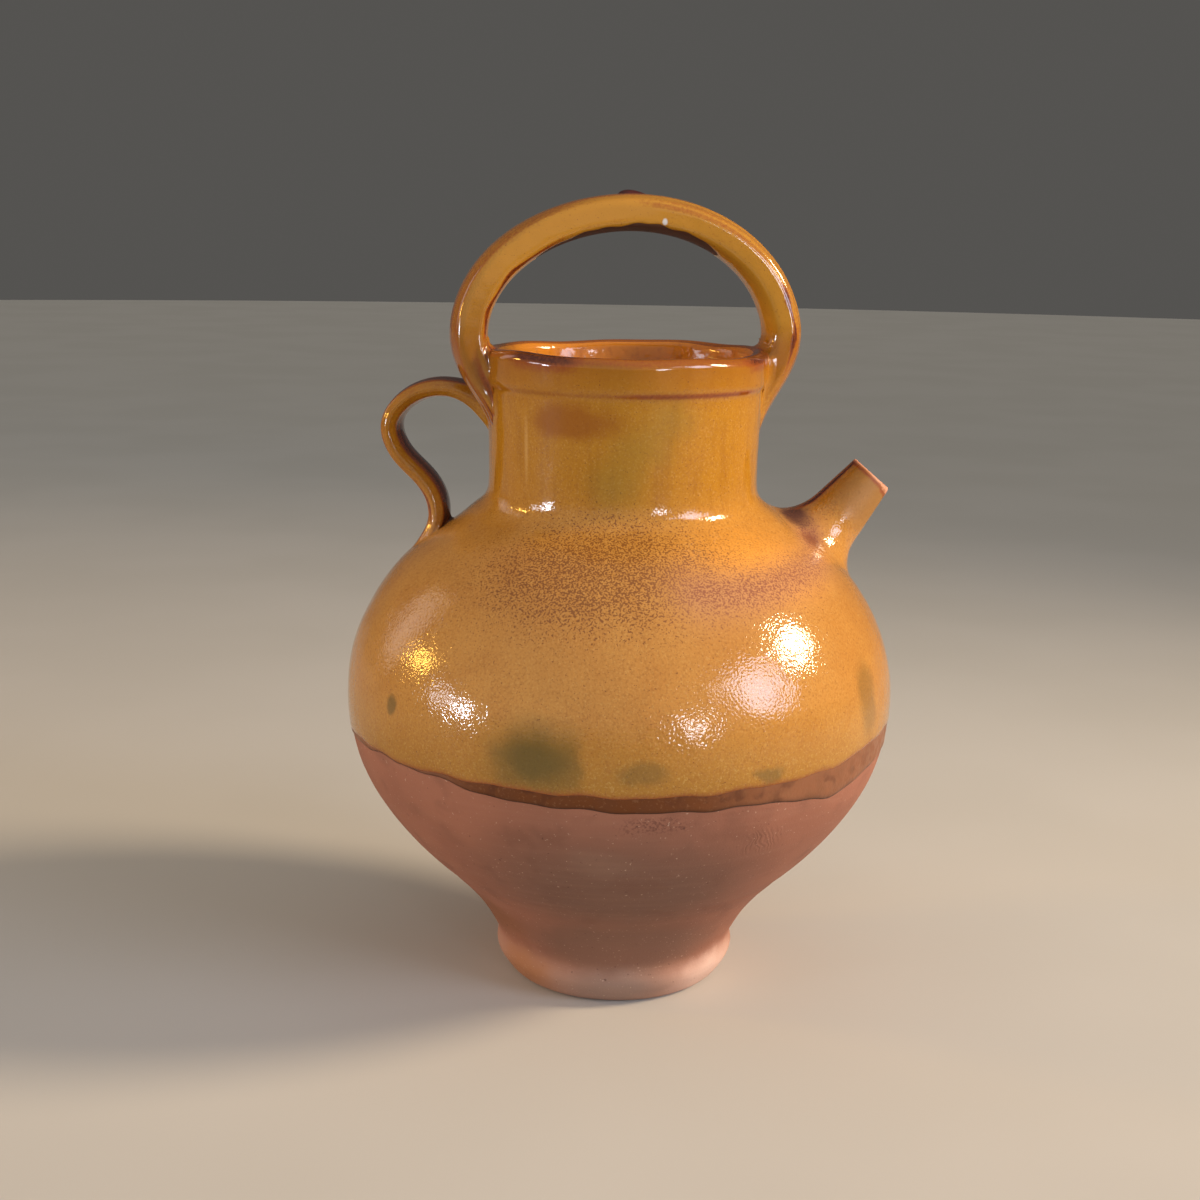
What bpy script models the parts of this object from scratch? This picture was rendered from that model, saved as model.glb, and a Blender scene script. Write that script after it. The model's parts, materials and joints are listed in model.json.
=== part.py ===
"""Glazed terracotta water jug with a stirrup handle, a side handle and a short spout.

The model is in metres with +Z up, and the dimensions below are in millimetres. The origin is the
middle of the flat foot, and the spout points along +X. The jug is put together as a potter does
it: a thrown body, a spout and two pulled handles, soft clay pressed round every root, and the
glaze that was poured over the upper half and swilled round the inside.
"""

import math

import bmesh
import bpy
from mathutils import Vector

MM = 0.001

# Facets and clearances
SEGMENTS = 40
GAP = 0.3
GLAZE = 0.5

# Thrown body: outline stations are (radius, height) of the bare clay
WALL = 5.6
FOOT_OUTLINE = ((42.8, 0.0), (46.4, 4.5), (49.2, 9.0), (49.9, 12.5))
LOWER_OUTLINE = ((49.2, 15.5), (51.0, 22.0), (55.9, 30.5), (65.0, 42.0), (81.2, 58.0), (96.0, 76.0))
WIDE_LOW = (106.1, 96.0)
WIDE_HIGH = (110.7, 118.0)
UPPER_OUTLINE = ((109.7, 134.0), (104.6, 150.0), (96.4, 164.5), (88.2, 175.0), (76.2, 184.0),
                 (65.6, 191.0), (57.6, 198.0), (53.2, 206.0), (52.9, 216.0), (53.4, 231.0),
                 (54.2, 245.6))
RIM_STEP = (56.1, 248.6)
LIP_CENTRE = (53.8, 256.9)
LIP_RADIUS = 2.8
LIP_TURNS = (0, 45, 90, 135, 180)
FLOOR_OUTLINE = ((40.0, 14.5), (30.0, 10.2), (0.0, 9.0))

# Glaze: heights of its lower edge round the jug, as (azimuth in degrees, height)
GLAZE_EDGE = ((0, 114.6), (60, 112.4), (120, 110.4), (182, 109.2), (198, 112.2), (230, 110.5),
              (265, 109.3), (300, 110.8), (328, 115.2))
RUN_EDGE = ((0, 105.5), (60, 103.0), (120, 105.0), (182, 106.6), (206, 109.0), (238, 105.2),
            (268, 103.3), (290, 103.4), (308, 99.2), (328, 104.6))
LIP_SEAM = 0.4

# Spout: a tapered tube that leans out from the shoulder
SPOUT_TIP = (105.1, 208.8)
SPOUT_RISE = 48.0
SPOUT_LENGTH = 45.4
SPOUT_TIP_RADIUS = 9.2
SPOUT_TAPER = 0.12
SPOUT_LIP = 1.2
BORE_RADIUS = 6.0
BORE_REACH = 62.0
SPOUT_SIDES = 28
SPOUT_ROOT = 37.4
SPOUT_FILLET_HEIGHT = 14.0
SPOUT_FILLET_REACH = 6.5
SPOUT_FILLET_DEPTH = 7.0

# Stirrup handle: an arch over the mouth, in the plane of the spout
ARCH_HALF_SPAN = 62.8
ARCH_SPRING = 264.5
ARCH_TOP = 312.4
ARCH_SHIFT = 0.6
ARCH_STEPS = 22
ARCH_HALF_WIDTH = 12.0
ARCH_HALF_THICKNESS = 7.6
ARCH_FOOT_HALF_WIDTH = 8.5
ARCH_FOOT_HALF_THICKNESS = 5.0
ARCH_FOOT_TAPER = 34.0
ARCH_FOOT_SPOUT_SIDE = ((56.4, 246.0), (51.8, 234.5), (48.6, 224.0))
ARCH_FOOT_HANDLE_SIDE = ((-56.2, 246.5), (-51.4, 238.0), (-47.8, 231.0))
ARCH_SIDES = 16

# Glaze drip: a thick drop that set on the crest of the stirrup handle, behind its middle
DRIP_PLACE = (2.6, 3.0)
DRIP_HALF_SIZES = (6.5, 4.5, 2.6)
DRIP_PROUD = 1.6
DRIP_SIDES = 16

# Side handle: a strap from the neck to the shoulder, turned off the plane of the arch
SIDE_AZIMUTH = 164.0
SIDE_PATH = ((49.5, 228.8), (58.7, 238.0), (73.0, 243.0), (87.0, 238.6), (94.7, 227.6),
             (90.6, 215.6), (82.1, 207.0), (76.2, 197.6), (75.6, 188.0), (79.5, 178.0))
SIDE_HALF_WIDTH = 10.0
SIDE_HALF_THICKNESS = 3.9
SIDE_STEPS = 3
SIDE_SIDES = 14

# Soft clay pressed round a handle root: it swells from a thin collar to a wide foot
COLLAR_THICKNESS = 1.1
COLLAR_BURIED = 2.0
ARCH_COLLAR_LENGTH = 24.0
ARCH_COLLAR_REACH = (4.2, 0.4)
SIDE_UPPER_COLLAR_LENGTH = 17.0
SIDE_UPPER_COLLAR_REACH = (3.0, 3.4)
SIDE_LOWER_COLLAR_LENGTH = 19.0
SIDE_LOWER_COLLAR_REACH = (3.4, 4.4)

# Colours of the fired clay and the glazes
CLAY_COLOUR = "B47A5E"
HONEY_COLOUR = "BD8230"
LINING_COLOUR = "A4621F"
RUN_COLOUR = "7A4A30"
LUTING_COLOUR = "A86E2A"
DRIP_COLOUR = "4A1710"


def clear_scene():
    """Start from an empty scene."""
    for item in list(bpy.data.objects):
        bpy.data.objects.remove(item, do_unlink=True)


def linear(hex_colour):
    """Turn an sRGB hex colour into linear RGBA."""
    channels = [int(hex_colour[i:i + 2], 16) / 255 for i in (0, 2, 4)]
    return [c / 12.92 if c <= 0.04045 else ((c + 0.055) / 1.055) ** 2.4 for c in channels] + [1.0]


def finish(name, hex_colour, roughness):
    """Make the material of one sub-part."""
    material = bpy.data.materials.new(name)
    material.use_nodes = True
    shader = material.node_tree.nodes["Principled BSDF"]
    shader.inputs["Base Color"].default_value = linear(hex_colour)
    shader.inputs["Roughness"].default_value = roughness
    shader.inputs["Metallic"].default_value = 0.0
    return material


def add_object(name, bm, material=None):
    """Put a mesh into the scene as a piece, or as a hidden cutter if it has no material."""
    mesh = bpy.data.meshes.new(name)
    bm.to_mesh(mesh)
    bm.free()
    item = bpy.data.objects.new(name, mesh)
    bpy.context.scene.collection.objects.link(item)
    if material is None:
        item.hide_render = True
        item.display_type = "WIRE"
    else:
        mesh.materials.append(material)
        mesh.shade_smooth()
        mesh.set_sharp_from_angle(angle=math.radians(50))
    return item


def cut(piece, *cutters):
    """Take every cutter out of a piece."""
    for cutter in cutters:
        boolean = piece.modifiers.new("clear of " + cutter.name, "BOOLEAN")
        boolean.operation = "DIFFERENCE"
        boolean.object = cutter


def smooth_through(stations, steps):
    """Curve through the stations, with the same number of steps in every span."""
    ends = [stations[0], *stations, stations[-1]]
    curve = [stations[0]]
    for a, b, c, d in zip(ends, ends[1:], ends[2:], ends[3:]):
        for step in range(1, steps + 1):
            t = step / steps
            curve.append(tuple(
                0.5 * (2 * q + (r - p) * t + (2 * p - 5 * q + 4 * r - s) * t ** 2
                       + (3 * q - p - 3 * r + s) * t ** 3)
                for p, q, r, s in zip(a, b, c, d)))
    return curve


def edge_height(stations, azimuth):
    """Height of a glaze edge at one azimuth, eased from station to station round the jug."""
    first = stations[0]
    closed = [*stations, (first[0] + 360, first[1])]
    for (start, low), (end, high) in zip(closed, closed[1:]):
        if start <= azimuth < end:
            ease = (1 - math.cos(math.pi * (azimuth - start) / (end - start))) / 2
            return low + (high - low) * ease
    return first[1]


def offset(curve, distance):
    """Move an outline of (radius, height) points away from the clay, with mitred corners."""
    points = [Vector(p) for p in curve]
    sides = []
    for a, b in zip(points, points[1:]):
        along = (b - a).normalized()
        sides.append(Vector((along.y, -along.x)))
    moved = []
    for point, before, after in zip(points, [sides[0], *sides], [*sides, sides[-1]]):
        middle = (before + after).normalized()
        moved.append(tuple(point + middle * distance / middle.dot(after)))
    return moved


def between(low, high, height):
    """Point at one height on the straight line between two (radius, height) points."""
    t = (height - low[1]) / (high[1] - low[1])
    return (low[0] + (high[0] - low[0]) * t, height)


def lip_outline():
    """Half round of the lip, from its outer side over the crest to its inner side."""
    return [(LIP_CENTRE[0] + LIP_RADIUS * math.cos(math.radians(turn)),
             LIP_CENTRE[1] + LIP_RADIUS * math.sin(math.radians(turn))) for turn in LIP_TURNS]


def outer_outline():
    """Outside of the clay from the foot to the inner side of the lip."""
    return [*FOOT_OUTLINE, *LOWER_OUTLINE, WIDE_LOW, WIDE_HIGH, *UPPER_OUTLINE, RIM_STEP,
            *lip_outline()]


def inner_outline():
    """Inside of the clay from the lip down to the middle of the floor."""
    wall = [*LOWER_OUTLINE[1::2], WIDE_LOW, WIDE_HIGH, *UPPER_OUTLINE[::2]]
    return [lip_outline()[-1], *reversed(offset(wall, -WALL)), *FLOOR_OUTLINE]


def turned(outline, segments=SEGMENTS, closed=False):
    """Spin an outline of (radius, height) points round Z; a closed outline gives a ring."""
    bm = bmesh.new()
    verts = [bm.verts.new((radius * MM, 0.0, height * MM)) for radius, height in outline]
    pairs = list(zip(verts, verts[1:]))
    if closed:
        pairs.append((verts[-1], verts[0]))
    edges = [bm.edges.new(pair) for pair in pairs]
    bmesh.ops.spin(bm, geom=verts + edges, cent=(0, 0, 0), axis=(0, 0, 1), angle=math.tau,
                   steps=segments, use_merge=True)
    bmesh.ops.remove_doubles(bm, verts=bm.verts, dist=0.000001)
    bmesh.ops.recalc_face_normals(bm, faces=bm.faces)
    return bm


def ring_of_columns(columns):
    """Close a ring whose outline changes from one azimuth to the next."""
    bm = bmesh.new()
    rows = []
    for azimuth, outline in columns:
        turn = math.radians(azimuth)
        rows.append([bm.verts.new((radius * math.cos(turn) * MM, radius * math.sin(turn) * MM,
                                   height * MM)) for radius, height in outline])
    for row, following in zip(rows, rows[1:] + rows[:1]):
        for i in range(len(row)):
            j = (i + 1) % len(row)
            bm.faces.new((row[i], row[j], following[j], following[i]))
    bmesh.ops.recalc_face_normals(bm, faces=bm.faces)
    return bm


def azimuths():
    """Azimuths of the facet edges round the turned pieces."""
    return [360 * i / SEGMENTS for i in range(SEGMENTS)]


def strap(path, sizes, azimuth, sides, grow=0.0):
    """Loft round sections along a path in the vertical plane at one azimuth.

    The path is (radius, height) points, and sizes are each section's half width and half
    thickness. Grow swells the strap all round and carries it on past both ends.
    """
    points = [Vector(p) for p in path]
    first = (points[0] - points[1]).normalized()
    last = (points[-1] - points[-2]).normalized()
    points[0] += first * grow
    points[-1] += last * grow
    turn = math.radians(azimuth)
    outward = Vector((math.cos(turn), math.sin(turn), 0))
    across = Vector((-math.sin(turn), math.cos(turn), 0))
    bm = bmesh.new()
    rings = []
    for i, (point, (half_width, half_thickness)) in enumerate(zip(points, sizes)):
        along = (points[min(i + 1, len(points) - 1)] - points[max(i - 1, 0)]).normalized()
        normal = outward * along.y - Vector((0, 0, along.x))
        centre = outward * point.x + Vector((0, 0, point.y))
        ring = []
        for side in range(sides):
            angle = math.tau * side / sides
            width = math.copysign(abs(math.cos(angle)) ** 0.8, math.cos(angle))
            depth = math.copysign(abs(math.sin(angle)) ** 0.8, math.sin(angle))
            place = (centre + across * (half_width + grow) * width
                     + normal * (half_thickness + grow) * depth)
            ring.append(bm.verts.new(place * MM))
        rings.append(ring)
    for ring, following in zip(rings, rings[1:]):
        for i in range(sides):
            j = (i + 1) % sides
            bm.faces.new((ring[i], ring[j], following[j], following[i]))
    bm.faces.new(rings[0])
    bm.faces.new(rings[-1])
    bmesh.ops.recalc_face_normals(bm, faces=bm.faces)
    return bm


def fillet(share):
    """Swelling of a clay fillet, 0 at its thin top edge and 1 at its foot."""
    return 1 - math.sqrt(max(0.0, 1 - share ** 2))


def collar(path, sizes, length, reach):
    """Path and sizes of the clay round the start of a strap, widest where the path begins."""
    points = [Vector(p) for p in path]
    used, swollen, travelled = [], [], 0.0
    for i, (point, (half_width, half_thickness)) in enumerate(zip(points, sizes)):
        if i > 0:
            travelled += (point - points[i - 1]).length
        if travelled > length:
            break
        swell = fillet(1 - max(0.0, travelled - COLLAR_BURIED) / length)
        used.append(tuple(point))
        swollen.append((half_width + COLLAR_THICKNESS + reach[0] * swell,
                        half_thickness + COLLAR_THICKNESS + reach[1] * swell))
    return used, swollen


def arch_path():
    """Centre line of the stirrup handle, from its foot by the spout to the other foot."""
    rise = ARCH_TOP - ARCH_SPRING
    arch = []
    for step in range(ARCH_STEPS + 1):
        turn = math.pi * step / ARCH_STEPS
        arch.append((ARCH_SHIFT + ARCH_HALF_SPAN * math.cos(turn), ARCH_SPRING + rise * math.sin(turn)))
    spout_foot = smooth_through((*reversed(ARCH_FOOT_SPOUT_SIDE), arch[0], arch[1]), 3)[:-4]
    handle_foot = smooth_through((arch[-2], arch[-1], *ARCH_FOOT_HANDLE_SIDE), 3)[4:]
    return [*spout_foot, *arch, *handle_foot]


def arch_sizes(path):
    """Half width and half thickness along the stirrup handle, thinner towards its feet."""
    points = [Vector(p) for p in path]
    lengths = [0.0]
    for a, b in zip(points, points[1:]):
        lengths.append(lengths[-1] + (b - a).length)
    sizes = []
    for length in lengths:
        share = min(1.0, min(length, lengths[-1] - length) / ARCH_FOOT_TAPER)
        ease = share * share * (3 - 2 * share)
        sizes.append((ARCH_FOOT_HALF_WIDTH + (ARCH_HALF_WIDTH - ARCH_FOOT_HALF_WIDTH) * ease,
                      ARCH_FOOT_HALF_THICKNESS
                      + (ARCH_HALF_THICKNESS - ARCH_FOOT_HALF_THICKNESS) * ease))
    return sizes


def spout_outline(grow=0.0):
    """Closed outline of the spout wall; its axis is Z and the tip is at height 0."""
    root_radius = SPOUT_TIP_RADIUS + SPOUT_TAPER * SPOUT_LENGTH
    return [(BORE_RADIUS - grow, -SPOUT_LENGTH - grow), (root_radius + grow, -SPOUT_LENGTH - grow),
            (SPOUT_TIP_RADIUS + grow, -SPOUT_LIP), (SPOUT_TIP_RADIUS - SPOUT_LIP / 2 + grow, grow),
            (BORE_RADIUS + SPOUT_LIP - grow, grow), (BORE_RADIUS - grow, -SPOUT_LIP)]


def spout_collar_outline(grow=0.0):
    """Closed outline of the clay round the spout root, a trumpet that ends in the wall."""
    outer = []
    for step in range(6):
        share = step / 5
        depth = SPOUT_ROOT - SPOUT_FILLET_HEIGHT * (1 - share)
        swell = COLLAR_THICKNESS + SPOUT_FILLET_REACH * fillet(share)
        outer.append((SPOUT_TIP_RADIUS + SPOUT_TAPER * depth + swell + grow, -depth))
    end = -SPOUT_ROOT - SPOUT_FILLET_DEPTH
    outer[0] = (outer[0][0], outer[0][1] + grow)
    outer.append((outer[-1][0], end))
    inner = [(BORE_RADIUS, end), (BORE_RADIUS, outer[0][1])]
    return [*inner, *outer]


def place_on_spout_axis(item):
    """Stand a piece turned round Z on the axis of the spout, with its height 0 at the tip."""
    item.location = (SPOUT_TIP[0] * MM, 0.0, SPOUT_TIP[1] * MM)
    item.rotation_euler = (0.0, math.radians(90 - SPOUT_RISE), 0.0)


def spout_cutter(name, outline):
    """Hidden turned shape on the axis of the spout."""
    item = add_object(name, turned(outline, SPOUT_SIDES))
    place_on_spout_axis(item)
    return item


def make_cutters():
    """Swollen copies of the pieces, which keep their neighbours clear of them."""
    clay = [(0.0, 0.0), *outer_outline()]
    crest = max(clay, key=lambda point: point[1])
    filled = [*offset(clay[:clay.index(crest) + 1], GAP), (0.0, crest[1] + GAP)]
    bore = [(0.0, SPOUT_LIP), (BORE_RADIUS, SPOUT_LIP), (BORE_RADIUS, -BORE_REACH), (0.0, -BORE_REACH)]
    wide_bore = [(radius + GAP if radius else 0.0, height) for radius, height in bore]
    root = SPOUT_TIP_RADIUS + SPOUT_TAPER * SPOUT_LENGTH
    plug = [(0.0, GAP), (SPOUT_TIP_RADIUS + GAP, GAP), (root + GAP, -SPOUT_LENGTH - GAP),
            (0.0, -SPOUT_LENGTH - GAP)]
    trumpet = spout_collar_outline(GAP)[2:]
    trumpet = [(0.0, trumpet[0][1]), *trumpet, (0.0, trumpet[-1][1])]
    return {
        "body": add_object("cut_body", turned(filled)),
        "bore": spout_cutter("cut_bore", bore),
        "wide_bore": spout_cutter("cut_wide_bore", wide_bore),
        "spout": spout_cutter("cut_spout", plug),
        "spout_luting": spout_cutter("cut_spout_luting", trumpet),
    }


def make_body(cutters):
    """Thrown body with its foot, rim and floor, and the hole under the spout."""
    outline = [(0.0, 0.0), *outer_outline(), *inner_outline()[1:]]
    body = add_object("thrown_body", turned(outline), finish("red_terracotta", CLAY_COLOUR, 0.85))
    cut(body, cutters["bore"])


def make_spout(cutters, honey):
    """Spout and the trumpet of soft clay that seats it on the shoulder."""
    spout = add_object("spout", turned(spout_outline(), SPOUT_SIDES, closed=True), honey)
    place_on_spout_axis(spout)
    cut(spout, cutters["body"])
    luting = add_object("spout_luting", turned(spout_collar_outline(), SPOUT_SIDES, closed=True),
                        finish("spout_luting_clay", LUTING_COLOUR, 0.3))
    place_on_spout_axis(luting)
    cut(luting, cutters["spout"], cutters["body"])


def make_handles(cutters, honey):
    """Both pulled handles and the clay thumbed round their four roots."""
    arch = arch_path()
    sizes = arch_sizes(arch)
    side = smooth_through(SIDE_PATH, SIDE_STEPS)
    side_sizes = [(SIDE_HALF_WIDTH, SIDE_HALF_THICKNESS)] * len(side)
    on_arch = (0.0, ARCH_SIDES)
    on_side = (SIDE_AZIMUTH, SIDE_SIDES)
    roots = (
        ("stirrup_luting_spout_side", on_arch,
         collar(arch, sizes, ARCH_COLLAR_LENGTH, ARCH_COLLAR_REACH)),
        ("stirrup_luting_handle_side", on_arch,
         collar(arch[::-1], sizes[::-1], ARCH_COLLAR_LENGTH, ARCH_COLLAR_REACH)),
        ("side_handle_luting_upper", on_side,
         collar(side, side_sizes, SIDE_UPPER_COLLAR_LENGTH, SIDE_UPPER_COLLAR_REACH)),
        ("side_handle_luting_lower", on_side,
         collar(side[::-1], side_sizes, SIDE_LOWER_COLLAR_LENGTH, SIDE_LOWER_COLLAR_REACH)),
    )
    cutters["stirrup"] = add_object("cut_stirrup", strap(arch, sizes, *on_arch, GAP))
    cutters["side"] = add_object("cut_side", strap(side, side_sizes, *on_side, GAP))
    for name, where, root in roots:
        cutters[name] = add_object("cut_" + name, strap(*root, *where, GAP))
    near_side_handle = (cutters["stirrup"], cutters["stirrup_luting_handle_side"])

    stirrup = add_object("stirrup_handle", strap(arch, sizes, *on_arch), honey)
    cut(stirrup, cutters["body"])
    handle = add_object("side_handle", strap(side, side_sizes, *on_side),
                        finish("side_handle_glaze", HONEY_COLOUR, 0.2))
    cut(handle, cutters["body"], *near_side_handle)
    for name, where, root in roots:
        luting = add_object(name, strap(*root, *where), finish(name + "_clay", LUTING_COLOUR, 0.3))
        cut(luting, cutters["stirrup" if where == on_arch else "side"], cutters["body"])
        if where == on_side:
            cut(luting, *near_side_handle)


def make_drip(cutters):
    """Drop of glaze on the crest of the stirrup handle, cut to the handle's back."""
    bm = bmesh.new()
    bmesh.ops.create_uvsphere(bm, u_segments=DRIP_SIDES, v_segments=DRIP_SIDES // 2, radius=1.0)
    bmesh.ops.scale(bm, verts=bm.verts, vec=Vector(DRIP_HALF_SIZES) * MM)
    crest = ARCH_TOP + ARCH_HALF_THICKNESS
    drip = add_object("glaze_drip", bm, finish("red_brown_glaze_drip", DRIP_COLOUR, 0.15))
    drip.location = Vector((*DRIP_PLACE, crest + DRIP_PROUD - DRIP_HALF_SIZES[2])) * MM
    cut(drip, cutters["stirrup"])


def make_glazes(cutters):
    """Outer glaze, the bare run below its edge, and the lining of the inside."""
    seam = outer_outline()[:-1]
    start = seam.index(WIDE_LOW)
    skins = [offset(seam[start:], distance) for distance in (GAP, GAP + GLAZE)]
    coat, run = [], []
    for azimuth in azimuths():
        edge = edge_height(GLAZE_EDGE, azimuth)
        low = edge_height(RUN_EDGE, azimuth)
        inside, outside = ([between(skin[0], skin[1], edge), *skin[1:]] for skin in skins)
        coat.append((azimuth, [*inside, *reversed(outside)]))
        run.append((azimuth, [between(skin[0], skin[1], height) for skin, height in (
            (skins[0], edge - GAP), (skins[0], low), (skins[1], low), (skins[1], edge - GAP))]))
    outer = add_object("outer_glaze", ring_of_columns(coat), finish("honey_glaze", HONEY_COLOUR, 0.18))
    cut(outer, *(cutters[name] for name in (
        "spout_luting", "stirrup_luting_spout_side", "stirrup_luting_handle_side",
        "side_handle_luting_upper", "side_handle_luting_lower", "stirrup", "side")))
    add_object("glaze_run_band", ring_of_columns(run), finish("clear_glaze_on_red_clay", RUN_COLOUR, 0.4))

    lip = lip_outline()
    down = (Vector(lip[-1]) - Vector(lip[-2])).normalized()
    clay = [tuple(Vector(lip[-2]) + down * LIP_SEAM), *inner_outline()]
    near, far = (offset(clay, distance) for distance in (GAP, GAP + GLAZE))
    near[-1] = (0.0, near[-1][1])
    far[-1] = (0.0, far[-1][1])
    lining = add_object("inner_glaze", turned([*reversed(near), *far]),
                        finish("brown_lining_glaze", LINING_COLOUR, 0.15))
    cut(lining, cutters["wide_bore"])


def main():
    """Build every piece of the jug."""
    clear_scene()
    honey = finish("honey_glaze_on_pulled_clay", HONEY_COLOUR, 0.18)
    cutters = make_cutters()
    make_body(cutters)
    make_spout(cutters, honey)
    make_handles(cutters, honey)
    make_drip(cutters)
    make_glazes(cutters)


main()
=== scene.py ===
# %% [markdown]
# # A honey-glazed water jug
# The real thing is red earthenware: a body thrown on the wheel, a spout and two handles stuck on
# while the clay was soft, a pale slip and a honey glaze poured over the upper half, and bare clay
# below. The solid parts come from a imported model, which gives every place and size. This script
# models the surfaces that the eye sees round those solids, gives each its finish, and lights them.

# %% Load the solid parts
import json
import math

import bmesh
import bpy
import numpy as np
from mathutils import Matrix, Vector, noise
from mathutils.bvhtree import BVHTree

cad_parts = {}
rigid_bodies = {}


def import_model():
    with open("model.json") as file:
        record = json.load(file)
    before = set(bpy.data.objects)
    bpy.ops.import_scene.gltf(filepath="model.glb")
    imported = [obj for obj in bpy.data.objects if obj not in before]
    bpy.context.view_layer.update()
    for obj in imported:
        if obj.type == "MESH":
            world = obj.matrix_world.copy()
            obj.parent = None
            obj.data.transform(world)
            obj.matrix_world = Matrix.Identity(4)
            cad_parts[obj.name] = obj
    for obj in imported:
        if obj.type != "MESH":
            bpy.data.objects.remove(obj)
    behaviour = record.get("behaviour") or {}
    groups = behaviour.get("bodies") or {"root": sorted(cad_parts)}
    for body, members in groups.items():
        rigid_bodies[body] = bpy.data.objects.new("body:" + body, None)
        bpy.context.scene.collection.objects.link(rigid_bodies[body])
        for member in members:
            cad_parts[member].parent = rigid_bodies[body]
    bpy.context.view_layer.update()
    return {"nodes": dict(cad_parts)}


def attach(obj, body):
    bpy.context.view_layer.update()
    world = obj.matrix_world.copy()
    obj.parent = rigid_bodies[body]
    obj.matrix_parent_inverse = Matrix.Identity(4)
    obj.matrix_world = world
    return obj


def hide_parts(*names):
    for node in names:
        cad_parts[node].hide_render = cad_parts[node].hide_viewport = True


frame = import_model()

MM = 0.001
bpy.ops.object.select_all(action="DESELECT")
print("solid parts:", len(frame["nodes"]), "nodes")

# %% [markdown]
# ## Camera
# A picture only compares with a photograph if the camera stands where the photographer stood. The
# lens, the tilt and the small roll were worked out from the ellipses of the turned rim and foot.
# A camera looks along its own -Z, so it is first raised to look along +Y, then tilted, rolled and
# turned round the jug.

# %% Camera
PICTURE_SIZE = 1200
FOCAL_PIXELS = 1731.0
SENSOR_WIDTH = 36.0
CAMERA_DISTANCE = 693.7
CAMERA_HEIGHT = 309.1
CAMERA_AZIMUTH = 260.0
CAMERA_PITCH = 12.33
CAMERA_YAW = 0.685
CAMERA_ROLL = 0.95


def polar(azimuth, radius, height):
    """Point at an azimuth in degrees, a radius and a height."""
    turn = math.radians(azimuth)
    return Vector((radius * math.cos(turn), radius * math.sin(turn), height))


camera_data = bpy.data.cameras.new("photo_camera")
camera_data.sensor_width = SENSOR_WIDTH
camera_data.lens = SENSOR_WIDTH * FOCAL_PIXELS / PICTURE_SIZE
camera = bpy.data.objects.new("photo_camera", camera_data)
bpy.context.scene.collection.objects.link(camera)
heading = Matrix.Rotation(math.radians(CAMERA_AZIMUTH - 270 + CAMERA_YAW), 4, "Z")
tilt = Matrix.Rotation(math.radians(90 - CAMERA_PITCH), 4, "X")
roll = Matrix.Rotation(math.radians(CAMERA_ROLL), 4, "Z")
stand = Matrix.Translation(polar(CAMERA_AZIMUTH, CAMERA_DISTANCE, CAMERA_HEIGHT) * MM)
camera.matrix_world = stand @ heading @ tilt @ roll
bpy.context.scene.camera = camera
print("camera lens", round(camera_data.lens, 2), "mm")

# %% [markdown]
# ## The outline that was thrown
# A thrown pot is one outline turned round an axis, so the outline is all that has to be measured.
# It is written as a few stations of radius and height in millimetres. A natural cubic curve through
# them bends evenly, which matters here: a shiny glaze shows every jump in curvature as a kink in
# its highlights.

# %% Outline of the clay
WALL = 5.6
COAT = 0.8
BODY_STATIONS = ((42.0, 0.5), (43.2, 1.2), (46.3, 4.6), (49.1, 9.2), (49.7, 12.6), (49.1, 15.8),
                 (51.0, 22.0), (55.9, 30.5), (65.0, 42.0), (81.2, 58.0), (96.2, 76.0),
                 (106.7, 96.0), (110.4, 117.0), (109.4, 134.0), (104.6, 150.0), (96.4, 164.5),
                 (87.6, 175.0), (76.4, 183.8), (66.6, 190.0), (60.4, 193.6), (56.6, 196.6),
                 (54.5, 199.5), (53.7, 203.2), (53.5, 209.0), (53.6, 219.0), (54.0, 232.0), (54.7, 245.2))
BAND_STATIONS = ((54.7, 245.2), (55.2, 246.2), (55.9, 247.6), (56.2, 249.6), (56.4, 253.0), (56.6, 256.9))
LIP_CENTRE = (53.8, 256.9)
LIP_RADIUS = 2.8
FLOOR_STATIONS = ((46.0, 22.0), (40.0, 14.5), (30.0, 10.2), (14.0, 9.1), (0.0, 9.0))
INSIDE_STATIONS = BODY_STATIONS[6:]
WALL_SPACING = 1.6
BAND_SPACING = 0.7
INSIDE_SPACING = 3.0
FLOOR_SPACING = 2.5


def smooth_curve(stations, spacing):
    """Natural cubic curve through the stations, read at even steps along it."""
    stations = np.array(stations, float)
    spans = np.linalg.norm(np.diff(stations, axis=0), axis=1)
    chord = np.concatenate(([0.0], np.cumsum(spans)))
    count = len(chord)
    system = np.eye(count)
    pull = np.zeros_like(stations)
    for i in range(1, count - 1):
        system[i, i - 1:i + 2] = spans[i - 1], 2 * (spans[i - 1] + spans[i]), spans[i]
        slopes = np.diff(stations[i - 1:i + 2], axis=0) / spans[i - 1:i + 1, None]
        pull[i] = 6 * (slopes[1] - slopes[0])
    bend = np.linalg.solve(system, pull)
    steps = np.linspace(0, chord[-1], max(2, round(chord[-1] / spacing) + 1))
    span = np.clip(np.searchsorted(chord, steps, side="right") - 1, 0, count - 2)
    length = spans[span][:, None]
    after = (steps - chord[span])[:, None] / length
    before = 1 - after
    straight = before * stations[span] + after * stations[span + 1]
    bowed = (before ** 3 - before) * bend[span] + (after ** 3 - after) * bend[span + 1]
    return straight + bowed * length ** 2 / 6


def arc(centre, radius, start, end, steps):
    """Points of an arc, from one angle in degrees to another."""
    turns = np.radians(np.linspace(start, end, steps))
    return np.stack((centre[0] + radius * np.cos(turns), centre[1] + radius * np.sin(turns)), axis=1)


def offset(curve, distance):
    """Move a curve of (radius, height) points to its right, which is away from the clay."""
    along = np.gradient(curve, axis=0)
    along /= np.linalg.norm(along, axis=1)[:, None]
    return curve + distance * np.stack((along[:, 1], -along[:, 0]), axis=1)


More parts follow.
